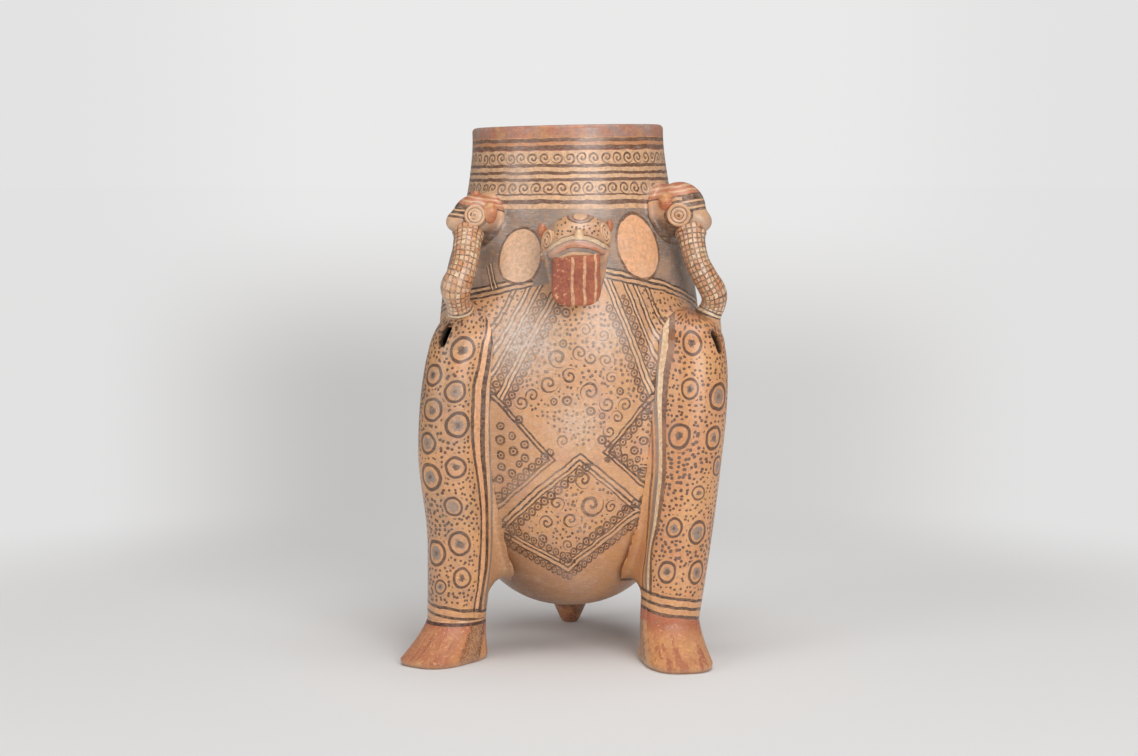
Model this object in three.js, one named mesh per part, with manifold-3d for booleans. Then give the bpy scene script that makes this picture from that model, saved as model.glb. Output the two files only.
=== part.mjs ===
// A painted earthenware effigy jar, in millimetres with +Z up and its face towards -Y.
// A pear-shaped body carries a tall collar. It stands on two hollow legs and a tail cone at the back.
// A feline head with its tongue out is luted to the chest. Two small heads on the shoulders hold arms that
// come down to the knees, each arm leaving an open loop. Every piece is its own coil, slab or pellet of clay.
import * as THREE from "three";
import { mergeVertices } from "three/addons/utils/BufferGeometryUtils.js";
import Module from "manifold-3d";

const wasm = await Module();
wasm.setup();

// Driving dimensions of the jar
const HEIGHT = 329;
const GAP = 0.3;
const BODY_BOTTOM = 22;
const BODY_WIDEST_Z = 170;
const BODY_RADIUS = 84;
const BODY_FULLNESS = 2.35;
const SHOULDER_TOP_Z = 272;
const SHOULDER_RADIUS = 67;
const SHOULDER_CURVE = 2.7;
const BODY_WALL = 7;
const NECK_WALL = 5.5;
const RIM_HEIGHT = 7.5;
const COLLAR = [[272, 67], [284, 65.4], [294, 63.6], [304, 62.2], [315, 61], [329, 60.5]];
const COLLAR_LEAN = 0.022;
const RIM_TILT = 0.02;
const SIDES = 44;

// Driving dimensions of the legs, the feet and the tail
const ANKLE_Z = 24;
const LEG_WALL = 5.5;
const WALL_TO_BODY = 5;
const LEG_SIDES = 20;
const VENT = { width: 5.4, height: 14, depth: 9.5 };
const TAIL = { x: 0.3, y: 49, tipRadius: 5.4, taper: 0.42, lean: 0.3, top: 62 };
const PELLET_RADIUS = 4.6;
const PELLET_SPREAD = 5.6;

// Each leg is listed by section: height, centre x, centre y and radius.
const LEFT = {
  name: "left",
  sections: [
    [24, -70.4, -58, 18.2],
    [45, -69.2, -59, 19.2],
    [80, -68.8, -61, 19.8],
    [120, -72.5, -62, 20.8],
    [150, -72.0, -62, 20.9],
    [175, -69.6, -61, 20.6],
    [195, -66.0, -59, 19.6],
    [218, -62.5, -56, 12],
  ],
  domeZ: 190,
  topZ: 218,
  foot: { x: -6.8, y: -19, long: 29.5, wide: 20, bearing: -2.2 },
  vent: { x: -75.6, z: 200.5, turn: -0.52, lean: 0.36 },
  pellets: [-69.6, -57.4],
  head: { x: -57.7, y: -51.5, z: 272, radius: 14.8, tall: 14.2 },
  snout: { x: -11.6, y: -7, z: -2.5, radius: 6.6 },
  eyeRadius: 6.6,
  eyes: { front: [-0.2, -13.6, 1.6], back: [-6.5, 12.2, 1.6] },
  earSize: [4.2, 4.2, 6],
  ears: { front: [8.9, -11.3, 5], back: [-0.5, 8.6, 10.6] },
  arm: [
    [-62, -58.5, 263, 8.8],
    [-63, -67, 253, 8.6],
    [-64.2, -72, 244, 8.2],
    [-66.8, -74, 236.5, 8.8],
    [-69.4, -73.5, 229.4, 9.4],
    [-68.6, -69, 222, 7.7],
    [-67.4, -63, 214, 7],
    [-68, -59, 206, 7.6],
  ],
};
const RIGHT = {
  name: "right",
  sections: [
    [24, 62.3, -63, 18.4],
    [45, 64.4, -62, 19.6],
    [80, 68.2, -61, 20.9],
    [120, 71.8, -60, 22.1],
    [150, 74.6, -59, 22.5],
    [175, 75.8, -57, 22.2],
    [195, 75.4, -54, 20.4],
    [218, 74.5, -48, 14],
  ],
  domeZ: 193,
  topZ: 213,
  foot: { x: 2.4, y: -21, long: 35.5, wide: 20.4, bearing: -1.39 },
  vent: { x: 90.6, z: 195.5, turn: 0.87, lean: -0.36 },
  pellets: [62.3, -63],
  head: { x: 68.5, y: -41.5, z: 277, radius: 16.2, tall: 17 },
  snout: { x: 12.4, y: -7, z: -7.5, radius: 7.2 },
  eyeRadius: 7.4,
  eyes: { front: [-1.2, -15.2, -3.2], back: [1, 15.2, -3.2] },
  earSize: [4.4, 4.4, 5.4],
  ears: { front: [-9, -12, 7.2], back: [-5.5, 12, 9] },
  arm: [
    [74, -46, 268, 8.6],
    [75.2, -49, 261.8, 8.6],
    [76.4, -51.5, 253.8, 8.0],
    [79, -53.5, 244.5, 7.6],
    [83.8, -53.5, 235.2, 7.8],
    [89, -51, 226.1, 8.2],
    [89.6, -47.5, 219.1, 7.7],
    [86.6, -45.5, 211, 7.4],
    [85.5, -44, 203, 7.2],
  ],
};

// Driving dimensions of the feline head, which the potter pressed a little out of true
const FELINE = {
  x: 4,
  skull: { y: -80, z: 256, wide: 20.5, deep: 24, tall: 19 },
  muzzle: { y: -101, z: 251.5, wide: 17.5, deep: 14.5, tall: 8.5 },
  skew: { x: 0.04, z: 0.07 },
  tongue: { y: -109, top: 252, topWidth: 28, tipWidth: 30, length: 33, thick: 8.5 },
  jaw: { y: -100.5, top: 252, topWidth: 40, tipWidth: 28, length: 30, thick: 9.5 },
  slabLean: 0.33,
  eyeRadius: 6.2,
};
const FELINE_SIDES = [
  { name: "left", eye: [-13.2, -93.4, 259], facing: [-0.72, -0.66, 0.2], ear: [-16.5, -79, 266] },
  { name: "right", eye: [21, -91.8, 263.2], facing: [0.72, -0.6, 0.3], ear: [24, -78, 268.5] },
];

const CLAY = new THREE.MeshStandardMaterial({ color: 0xd3a06f, roughness: 0.55, metalness: 0 });
const CREAM = new THREE.MeshStandardMaterial({ color: 0xd9b488, roughness: 0.5, metalness: 0 });
const RED = new THREE.MeshStandardMaterial({ color: 0xb1583a, roughness: 0.5, metalness: 0 });
const BARE = new THREE.MeshStandardMaterial({ color: 0xa87f5c, roughness: 0.85, metalness: 0 });

const group = new THREE.Group();

// Adds one named piece of clay to the jar, without the crumbs that a cut leaves beside it.
function add(name, solid, material) {
  const [piece] = solid.decompose().sort((a, b) => b.volume() - a.volume());
  const mesh = new THREE.Mesh(geometryOf(piece), material);
  mesh.name = name;
  group.add(mesh);
}

// The closed solid of a three.js geometry.
function solidOf(geometry) {
  const bare = geometry.clone();
  bare.deleteAttribute("normal");
  bare.deleteAttribute("uv");
  const merged = mergeVertices(bare, 1e-4);
  return new wasm.Manifold(
    new wasm.Mesh({
      numProp: 3,
      vertProperties: new Float32Array(merged.attributes.position.array),
      triVerts: new Uint32Array(merged.index.array),
    }),
  );
}

// The three.js geometry of a solid.
function geometryOf(solid) {
  const mesh = solid.getMesh();
  return new THREE.BufferGeometry()
    .setAttribute("position", new THREE.BufferAttribute(new Float32Array(mesh.vertProperties), 3))
    .setIndex(new THREE.BufferAttribute(new Uint32Array(mesh.triVerts), 1));
}

// A profile of [radius, height] points turned about the Z axis.
function turned(profile, sides) {
  const points = profile.map(([radius, height]) => new THREE.Vector2(radius, height));
  return new THREE.LatheGeometry(points, sides).rotateX(Math.PI / 2);
}

// Moves each vertex of a geometry to where the rule puts it.
function moved(geometry, rule) {
  const position = geometry.getAttribute("position");
  const vertex = new THREE.Vector3();
  for (let i = 0; i < position.count; i += 1) {
    vertex.fromBufferAttribute(position, i);
    rule(vertex);
    position.setXYZ(i, vertex.x, vertex.y, vertex.z);
  }
  return geometry;
}

// An egg of clay with the given centre and half sizes.
function egg(centre, sizes, grow = 0, rings = 9) {
  const ball = new THREE.SphereGeometry(1, Math.round(rings * 1.6), rings);
  ball.scale(sizes[0] + grow, sizes[1] + grow, sizes[2] + grow);
  return solidOf(ball.translate(...centre));
}

// A disc of clay with a raised edge and a boss in the middle, facing along the given way: an eye.
function eyeForm(centre, size, facing, grow) {
  const radius = size + grow;
  const profile = [
    [0, -size],
    [radius, -size],
    [radius, 0.4 + grow],
    [radius * 0.84, 1.5 + grow],
    [radius * 0.6, 0.7 + grow],
    [radius * 0.34, 2 + grow],
    [0, 2.2 + grow],
  ];
  const outward = new THREE.Vector3(...facing).normalize();
  const turn = new THREE.Quaternion().setFromUnitVectors(new THREE.Vector3(0, 0, 1), outward);
  return solidOf(turned(profile, 16).applyQuaternion(turn).translate(...centre));
}

const smooth = (low, high, value) => THREE.MathUtils.smoothstep(value, low, high);

// The body and the collar

// The outside radius of the body at a height.
function bodyRadius(z) {
  if (z < BODY_WIDEST_Z) {
    const drop = Math.min(1, (BODY_WIDEST_Z - z) / (BODY_WIDEST_Z - BODY_BOTTOM));
    return BODY_RADIUS * (1 - drop ** BODY_FULLNESS) ** (1 / BODY_FULLNESS);
  }
  const rise = (z - BODY_WIDEST_Z) / (SHOULDER_TOP_Z - BODY_WIDEST_Z);
  return SHOULDER_RADIUS + (BODY_RADIUS - SHOULDER_RADIUS) * (1 - rise ** SHOULDER_CURVE);
}

// The body's outline from the bottom to the shoulder, pushed out by grow.
function bodyOutline(grow, steps = 10) {
  const outline = [];
  const start = -Math.PI / 2;
  for (let i = 0; i <= steps; i += 1) {
    const turn = start * (1 - i / steps);
    const z = BODY_WIDEST_Z + (BODY_WIDEST_Z - BODY_BOTTOM) * Math.sin(turn);
    outline.push([i === 0 ? 0 : bodyRadius(z) + grow * Math.cos(turn), z + grow * Math.sin(turn)]);
  }
  const rise = Math.round(steps / 2);
  for (let i = 1; i <= rise; i += 1) {
    const z = BODY_WIDEST_Z + ((SHOULDER_TOP_Z - BODY_WIDEST_Z) * i) / rise;
    outline.push([bodyRadius(z) + grow, z]);
  }
  return outline;
}

// The outside radius of the collar at a height.
function collarRadius(z) {
  const next = Math.max(1, COLLAR.findIndex(([height]) => height >= z - 1e-6));
  const [[low, lowRadius], [high, highRadius]] = COLLAR.slice(next - 1, next + 1);
  return THREE.MathUtils.mapLinear(z, low, high, lowRadius, highRadius);
}

// Lets what stands above the shoulder lean and tilt a little to the left, as the collar does.
function leaning(geometry) {
  return moved(geometry, (vertex) => {
    const rise = Math.max(0, vertex.z - SHOULDER_TOP_Z);
    vertex.z += (RIM_TILT * vertex.x * rise) / (HEIGHT - SHOULDER_TOP_Z);
    vertex.x -= COLLAR_LEAN * rise;
  });
}

// The whole jar as one filled form, pushed out by grow, to cut what is luted to it.
function jarForm(grow) {
  const outline = bodyOutline(grow);
  for (const [z, radius] of COLLAR.slice(1)) outline.push([radius + grow, z]);
  outline.push([0, HEIGHT]);
  return solidOf(leaning(turned(outline, SIDES)));
}

function addBody() {
  const outside = bodyOutline(0);
  const inside = bodyOutline(-BODY_WALL).reverse();
  add("bowl_body", solidOf(turned([...outside, ...inside], SIDES)), CLAY);
}

function addCollar() {
  const levels = [SHOULDER_TOP_Z + GAP, 284, 294, 304, 315, HEIGHT - RIM_HEIGHT];
  const outside = levels.map((z) => [collarRadius(z), z]);
  const inside = levels.map((z) => [collarRadius(z) - NECK_WALL, z]).reverse();
  add("neck_collar", solidOf(leaning(turned([...outside, ...inside, outside[0]], SIDES))), CLAY);
}

function addRim() {
  const bottom = HEIGHT - RIM_HEIGHT + GAP;
  const lip = NECK_WALL / 2;
  const middle = collarRadius(bottom) - lip;
  const profile = [[middle - lip, bottom], [middle + lip, bottom]];
  for (let i = 0; i <= 5; i += 1) {
    const turn = (Math.PI * i) / 5;
    profile.push([middle + lip * Math.cos(turn), HEIGHT - lip + lip * Math.sin(turn)]);
  }
  profile.push([middle - lip, bottom]);
  add("rim_coil", solidOf(leaning(turned(profile, SIDES))), RED);
}

// The legs, the feet and the tail

// The leg's centre and radius at a height.
function legSection(side, z) {
  const heights = side.sections.map((section) => section[0]);
  const values = side.sections.flatMap((section) => section.slice(1));
  const [x, y, radius] = new THREE.CubicInterpolant(heights, values, 3).evaluate(z);
  return { x, y, radius };
}

// A leg's form from bottom to top, made thinner by inset. Below the belly a web reaches in to the body.
function legForm(side, bottom, inset, webbed) {
  const top = side.topZ - inset;
  const dome = legSection(side, side.domeZ).radius - inset;
  const profile = [[0, bottom]];
  const levels = 10;
  for (let i = 0; i <= levels; i += 1) {
    const z = bottom + ((side.domeZ - bottom) * i) / levels;
    profile.push([legSection(side, z).radius - inset, z]);
  }
  for (let i = 1; i <= 5; i += 1) {
    const turn = (Math.PI / 2) * (i / 5);
    const radius = i === 5 ? 0 : dome * Math.cos(turn);
    profile.push([radius, side.domeZ + (top - side.domeZ) * Math.sin(turn)]);
  }
  const form = moved(turned(profile, LEG_SIDES), (vertex) => {
    const { x, y, radius } = legSection(side, vertex.z);
    const away = Math.hypot(x, y);
    const inward = Math.max(0, -(vertex.x * x + vertex.y * y) / (away * radius));
    const missing = Math.max(0, away - radius - bodyRadius(vertex.z) + 2);
    const web = webbed ? missing * smooth(38, 54, vertex.z) * inward ** 3 : 0;
    vertex.x += x * (1 - web / away);
    vertex.y += y * (1 - web / away);
  });
  return solidOf(form);
}

// The upright slot through the wall near the top of a leg.
function ventForm(side) {
  const { x, z, turn, lean } = side.vent;
  const section = legSection(side, z);
  const slot = new THREE.CapsuleGeometry(VENT.width / 2, VENT.height - VENT.width, 4, 12);
  slot.rotateX(Math.PI / 2).scale(1, (2 * VENT.depth) / VENT.width, 1).rotateY(lean).rotateZ(turn);
  const front = section.y - Math.sqrt(section.radius ** 2 - (x - section.x) ** 2);
  return solidOf(slot.translate(x, front + 1, z));
}

function addLeg(side) {
  const bottom = ANKLE_Z + GAP;
  const outside = legForm(side, bottom, 0, true).subtract(jarForm(GAP));
  const chamber = legForm(side, bottom - 2, LEG_WALL, false).subtract(jarForm(WALL_TO_BODY));
  const leg = outside.subtract(chamber).subtract(ventForm(side));
  add(`${side.name}_leg`, leg, CLAY);
}

// A foot: round at the ankle, and drawn out to a blunt toe as it comes down to a flat sole.
function addFoot(side) {
  const { foot, name } = side;
  const ankle = legSection(side, ANKLE_Z);
  const profile = [[0, 0], [0.93, 0], [0.98, 1.2], [1, 3.5], [1, 7], [1, 10.5], [1, 14], [1, 17.5], [1, 21]];
  profile.push([1, ANKLE_Z], [0, ANKLE_Z]);
  const form = moved(turned(profile, 24), (vertex) => {
    const down = Math.min(1, (ANKLE_Z - vertex.z) / (ANKLE_Z - 3.5));
    const spread = down ** 1.4;
    const reach = Math.hypot(vertex.x, vertex.y);
    const blunt = reach === 0 ? 1 : Math.hypot(Math.abs(vertex.x) ** 1.3, Math.abs(vertex.y) ** 1.3);
    const square = 1 + spread * (reach ** 1.3 / blunt - 1);
    const along = vertex.x * square * (ankle.radius + spread * (foot.long - ankle.radius));
    const across = vertex.y * square * (ankle.radius + spread * (foot.wide - ankle.radius));
    vertex.x = ankle.x + spread * foot.x + along * Math.cos(foot.bearing) - across * Math.sin(foot.bearing);
    vertex.y = ankle.y + spread * foot.y + along * Math.sin(foot.bearing) + across * Math.cos(foot.bearing);
  });
  add(`${name}_foot`, solidOf(form), RED);
}

function addTail() {
  const wide = (z) => TAIL.tipRadius + TAIL.taper * z;
  const profile = [[0, 0], [wide(0) - 2, 0], [wide(0) - 0.4, 0.8]];
  for (const z of [3, 20, 40, TAIL.top]) profile.push([wide(z), z]);
  profile.push([0, TAIL.top]);
  const cone = moved(turned(profile, 24), (vertex) => {
    vertex.y += TAIL.y - TAIL.lean * Math.max(0, vertex.z - 3);
    vertex.x += TAIL.x;
  });
  add("tail_support", solidOf(cone).subtract(jarForm(GAP)), CLAY);
}

// Two loose clay balls that lie side by side on the foot inside each leg and rattle up and down.
function addPellets(side) {
  const [x, y] = side.pellets;
  const away = Math.hypot(x, y);
  const rest = ANKLE_Z + GAP + PELLET_RADIUS;
  for (const [label, hand] of [["a", -1], ["b", 1]]) {
    const across = (hand * PELLET_SPREAD) / away;
    const centre = [x - y * across, y + x * across, rest];
    const sizes = [PELLET_RADIUS, PELLET_RADIUS, PELLET_RADIUS];
    add(`${side.name}_rattle_pellet_${label}`, egg(centre, sizes, 0, 7), BARE);
  }
}

// The shoulder heads and their arms

function headForm(side, grow) {
  const { x, y, z, radius, tall } = side.head;
  return egg([x, y, z], [radius, radius, tall], grow, 11);
}

// A tapering coil of clay that follows the arm's centre points.
function armForm(side) {
  const path = new THREE.CatmullRomCurve3(side.arm.map(([x, y, z]) => new THREE.Vector3(x, y, z)));
  const thickness = new THREE.CubicInterpolant(
    side.arm.map((point, i) => i / (side.arm.length - 1)),
    side.arm.map((point) => point[3]),
    1,
  );
  const steps = 13;
  const profile = [[0, 0]];
  for (let i = 0; i <= steps; i += 1) profile.push([1, i / steps]);
  profile.push([0, 1]);
  const form = moved(turned(profile, 12), (vertex) => {
    const share = THREE.MathUtils.clamp(vertex.z, 0, 1);
    const [radius] = thickness.evaluate(share);
    const centre = path.getPoint(share);
    const along = path.getTangent(share);
    const side = new THREE.Vector3(1, 0, 0).cross(along).normalize();
    const front = new THREE.Vector3().crossVectors(side, along);
    const out = vertex.clone().setZ(0);
    vertex.copy(centre);
    vertex.addScaledVector(front, out.x * radius);
    vertex.addScaledVector(side, out.y * radius);
  });
  return solidOf(form);
}

// A blob of clay on a shoulder head: its snout.
function snoutForm({ head, snout }, grow) {
  const centre = [head.x + snout.x, head.y + snout.y, head.z + snout.z];
  return egg(centre, [snout.radius, snout.radius * 0.9, snout.radius * 0.95], grow, 8);
}

// An eye of a shoulder head, at an offset from the head's middle.
function shoulderEye({ head, eyeRadius }, [x, y, z], grow) {
  return eyeForm([head.x + x, head.y + y, head.z + z], eyeRadius, [x, y, z], grow);
}

function addShoulder(side) {
  const jar = jarForm(GAP);
  const head = headForm(side, GAP);
  const snout = snoutForm(side, GAP);
  add(`${side.name}_shoulder_head`, headForm(side, 0).subtract(jar), CLAY);
  add(`${side.name}_shoulder_snout`, snoutForm(side, 0).subtract(head), CREAM);

  let arm = armForm(side).subtract(head).subtract(snout).subtract(jar);
  arm = arm.subtract(legForm(side, ANKLE_Z, -GAP, true));
  for (const label of ["front", "back"]) {
    const [x, y, z] = side.ears[label];
    const room = shoulderEye(side, side.eyes[label], GAP);
    const eye = shoulderEye(side, side.eyes[label], 0).subtract(head).subtract(snout);
    const ear = egg([side.head.x + x, side.head.y + y, side.head.z + z], side.earSize, 0, 8);
    add(`${side.name}_shoulder_${label}_eye`, eye.subtract(jar), CREAM);
    add(`${side.name}_shoulder_${label}_ear`, ear.subtract(head).subtract(room).subtract(jar), RED);
    arm = arm.subtract(room);
  }
  add(`${side.name}_arm`, arm, CLAY);
}

// The feline head

// A slab hanging from the mouth, topWidth across at the lips and tipWidth above its round tip.
function slabForm({ y, top, topWidth, tipWidth, length, thick }, grow) {
  const edge = Math.min(2.4, thick / 3);
  const upper = topWidth / 2 + grow - edge;
  const lower = tipWidth / 2 + grow - edge;
  const tip = -length - grow + edge;
  const shape = new THREE.Shape();
  shape.moveTo(-upper, grow);
  shape.lineTo(-lower, -length * 0.7);
  shape.quadraticCurveTo(-lower, tip, 0, tip);
  shape.quadraticCurveTo(lower, tip, lower, -length * 0.7);
  shape.lineTo(upper, grow);
  shape.closePath();
  const slab = new THREE.ExtrudeGeometry(shape, {
    depth: thick + 2 * grow - 2 * edge,
    curveSegments: 6,
    bevelThickness: edge,
    bevelSize: edge,
    bevelSegments: 2,
  });
  slab.translate(0, 0, edge - thick / 2 - grow).rotateX(Math.PI / 2 + FELINE.slabLean);
  return solidOf(slab.translate(FELINE.x, y, top));
}

// The skull and the muzzle as one form, skewed as the potter left it.
function felineForm(grow) {
  const { x, skull, muzzle, skew } = FELINE;
  const dome = egg([0, skull.y, skull.z], [skull.wide, skull.deep, skull.tall], grow, 12);
  const jaws = egg([0, muzzle.y, muzzle.z], [muzzle.wide, muzzle.deep, muzzle.tall], grow, 10);
  const form = moved(geometryOf(dome.add(jaws)), (vertex) => {
    const rise = vertex.z - skull.z;
    vertex.z += skew.z * vertex.x;
    vertex.x += x + skew.x * rise;
  });
  return solidOf(form);
}

function addFeline() {
  const { tongue, jaw, eyeRadius } = FELINE;
  const jar = jarForm(GAP);
  const tongueRoom = slabForm(tongue, GAP);
  const mouthRoom = tongueRoom.add(slabForm(jaw, GAP));
  add("feline_head", felineForm(0).subtract(mouthRoom).subtract(jar), CLAY);
  add("feline_lower_jaw", slabForm(jaw, 0).subtract(tongueRoom).subtract(jar), CREAM);
  add("feline_tongue", slabForm(tongue, 0).subtract(jar), RED);

  const taken = felineForm(GAP).add(mouthRoom);
  add("feline_nose", egg([6, -113, 257], [5.4, 4, 4.6]).subtract(taken), CREAM);
  for (const { name, eye, facing, ear } of FELINE_SIDES) {
    add(`feline_${name}_eye`, eyeForm(eye, eyeRadius, facing, 0).subtract(taken), CREAM);
    const room = taken.add(eyeForm(eye, eyeRadius, facing, GAP));
    add(`feline_${name}_ear`, egg(ear, [4.4, 4.4, 5.4], 0, 8).subtract(room), RED);
  }
}

addBody();
addCollar();
addRim();
for (const side of [LEFT, RIGHT]) {
  addLeg(side);
  addFoot(side);
  addPellets(side);
  addShoulder(side);
}
addTail();
addFeline();

// The origin is the middle of the jar's own box, on the surface that it stands on.
const middle = new THREE.Box3().setFromObject(group).getCenter(new THREE.Vector3());
group.position.set(-middle.x, -middle.y, 0);

export default group;
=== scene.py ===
"""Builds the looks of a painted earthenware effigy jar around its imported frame.

The jar stands on two hollow legs and a tail cone. A feline head with its tongue out is luted to the chest, and
two small heads on the shoulders hold looped arms. Shapes are worked out in millimetres from the jar's own axis
and moved to the row's frame, in metres, when a piece is finished.
"""

import logging
import math
from dataclasses import dataclass
from enum import Enum
from typing import Any, Protocol, Sequence

import bmesh
import bpy
import numpy as np
from mathutils import Matrix, Vector, noise


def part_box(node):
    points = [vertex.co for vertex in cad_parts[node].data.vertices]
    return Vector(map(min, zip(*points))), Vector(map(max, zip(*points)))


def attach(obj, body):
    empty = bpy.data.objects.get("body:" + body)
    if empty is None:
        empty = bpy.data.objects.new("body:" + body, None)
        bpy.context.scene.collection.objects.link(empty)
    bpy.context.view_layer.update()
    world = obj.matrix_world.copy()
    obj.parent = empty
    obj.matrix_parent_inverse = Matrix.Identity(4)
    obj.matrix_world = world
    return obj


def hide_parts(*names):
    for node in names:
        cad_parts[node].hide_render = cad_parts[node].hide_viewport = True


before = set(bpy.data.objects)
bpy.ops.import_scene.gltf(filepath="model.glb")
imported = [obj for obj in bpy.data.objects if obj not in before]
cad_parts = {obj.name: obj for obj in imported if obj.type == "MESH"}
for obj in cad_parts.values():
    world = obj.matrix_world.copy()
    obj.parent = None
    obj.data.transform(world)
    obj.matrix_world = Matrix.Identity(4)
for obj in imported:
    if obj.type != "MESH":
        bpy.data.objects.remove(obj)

LOG = logging.getLogger("jar")
MM = 0.001
PHOTO_WIDTH = 1138
FOCAL_PIXELS = 2340.0
SENSOR_WIDTH = 36.0
CREASE = 42.0  # degrees from which an edge of clay stays sharp
EMBEDDED = 3.0  # how far a luted piece may reach below the wall's outside, in millimetres

# Noise: its scale per millimetre, its detail and its roughness. Fire clouds are about 29 mm wide, tints 13 mm, the
# brush's waver 8 mm and rubbed spots 2.4 mm. Grit is drawn at 0.7 mm, coarser than the real one, so that it shows.
CLOUDS = (0.035, 5.0, 0.62)
TINTS = (0.075, 4.0, 0.6)
WAVER = (0.12, 2.0)
RUBS = (0.42, 5.0, 0.72)
GRIT = (1.5, 3.0, 0.7)
STROKES = (1.0, 3.0, 0.7)
STROKE = (0.22, 0.22, 1.9)  # per millimetre: a burnishing stroke is 4.5 mm long and half a millimetre high
SHAKE = 2.2  # how far the brush's waver reaches from end to end, in millimetres
BUMP_DEPTH = 0.0007
TURN_SHARE = 0.01  # a curl's turn is written this small, so that it doesn't count in the distance from its middle

Points = np.ndarray
Triple = tuple[float, float, float]
Clay = bmesh.types.BMesh
Finish = bpy.types.Material
Socket = bpy.types.NodeSocket


def axis_of_the_jar() -> Vector:
    """Finds where the jar's own axis stands in the row's frame.

    Returns:
        The point of the axis on the ground, in metres.
    """
    low, high = (Vector(corner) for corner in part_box("bowl_body"))
    return Vector(((low.x + high.x) / 2, (low.y + high.y) / 2, 0.0))


AXIS = axis_of_the_jar()
TO_FRAME = Matrix.Translation(AXIS) @ Matrix.Scale(MM, 4)


# Forms: the surfaces that pieces follow, as distances in millimetres


class Form(Protocol):
    """A surface that other clay can be smoothed on to."""

    def distance(self, points: Points) -> Points:
        """Gives how far points are outside the surface, negative inside."""
        ...


def gradient(form: Form, points: Points) -> Points:
    """Finds the directions that lead straight away from a form.

    Args:
        form: The surface.
        points: Places, one row each.

    Returns:
        One unit vector per point.
    """
    step = 0.4
    slopes = np.zeros_like(points)
    for axis in range(3):
        offset = np.zeros(3)
        offset[axis] = step
        slopes[:, axis] = form.distance(points + offset) - form.distance(points - offset)
    return slopes / np.maximum(np.linalg.norm(slopes, axis=1, keepdims=True), 1e-9)


@dataclass(frozen=True)
class Course:
    """Values that run smoothly through listed knots, such as a leg's centre over its height.

    Attributes:
        knots: Rows of a place followed by the values there.
    """

    knots: tuple[tuple[float, ...], ...]

    def at(self, place: Points | float) -> Points:
        """Gives the values at a place, one row per place.

        Args:
            place: One place or an array of them.

        Returns:
            The values there, along the last axis.
        """
        table = np.array(self.knots, dtype=float)
        marks, values = table[:, 0], table[:, 1:]
        slopes = np.zeros_like(values)
        slopes[1:-1] = (values[2:] - values[:-2]) / (marks[2:] - marks[:-2])[:, None]
        slopes[0] = (values[1] - values[0]) / (marks[1] - marks[0])
        slopes[-1] = (values[-1] - values[-2]) / (marks[-1] - marks[-2])
        here = np.clip(np.atleast_1d(np.asarray(place, dtype=float)), marks[0], marks[-1])
        index = np.clip(np.searchsorted(marks, here, side="right") - 1, 0, len(marks) - 2)
        width = (marks[index + 1] - marks[index])[:, None]
        t = (here - marks[index])[:, None] / width
        return (
            (2 * t**3 - 3 * t**2 + 1) * values[index]
            + (t**3 - 2 * t**2 + t) * width * slopes[index]
            + (3 * t**2 - 2 * t**3) * values[index + 1]
            + (t**3 - t**2) * width * slopes[index + 1]
        )


def smoothstep(low: float, high: float, value: Points) -> Points:
    """Rises smoothly from 0 at low to 1 at high.

    Args:
        low: Where the rise starts.
        high: Where it ends.
        value: Where to read it.

    Returns:
        The height of the rise for each value.
    """
    t = np.clip((value - low) / (high - low), 0.0, 1.0)
    return t * t * (3 - 2 * t)


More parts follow.
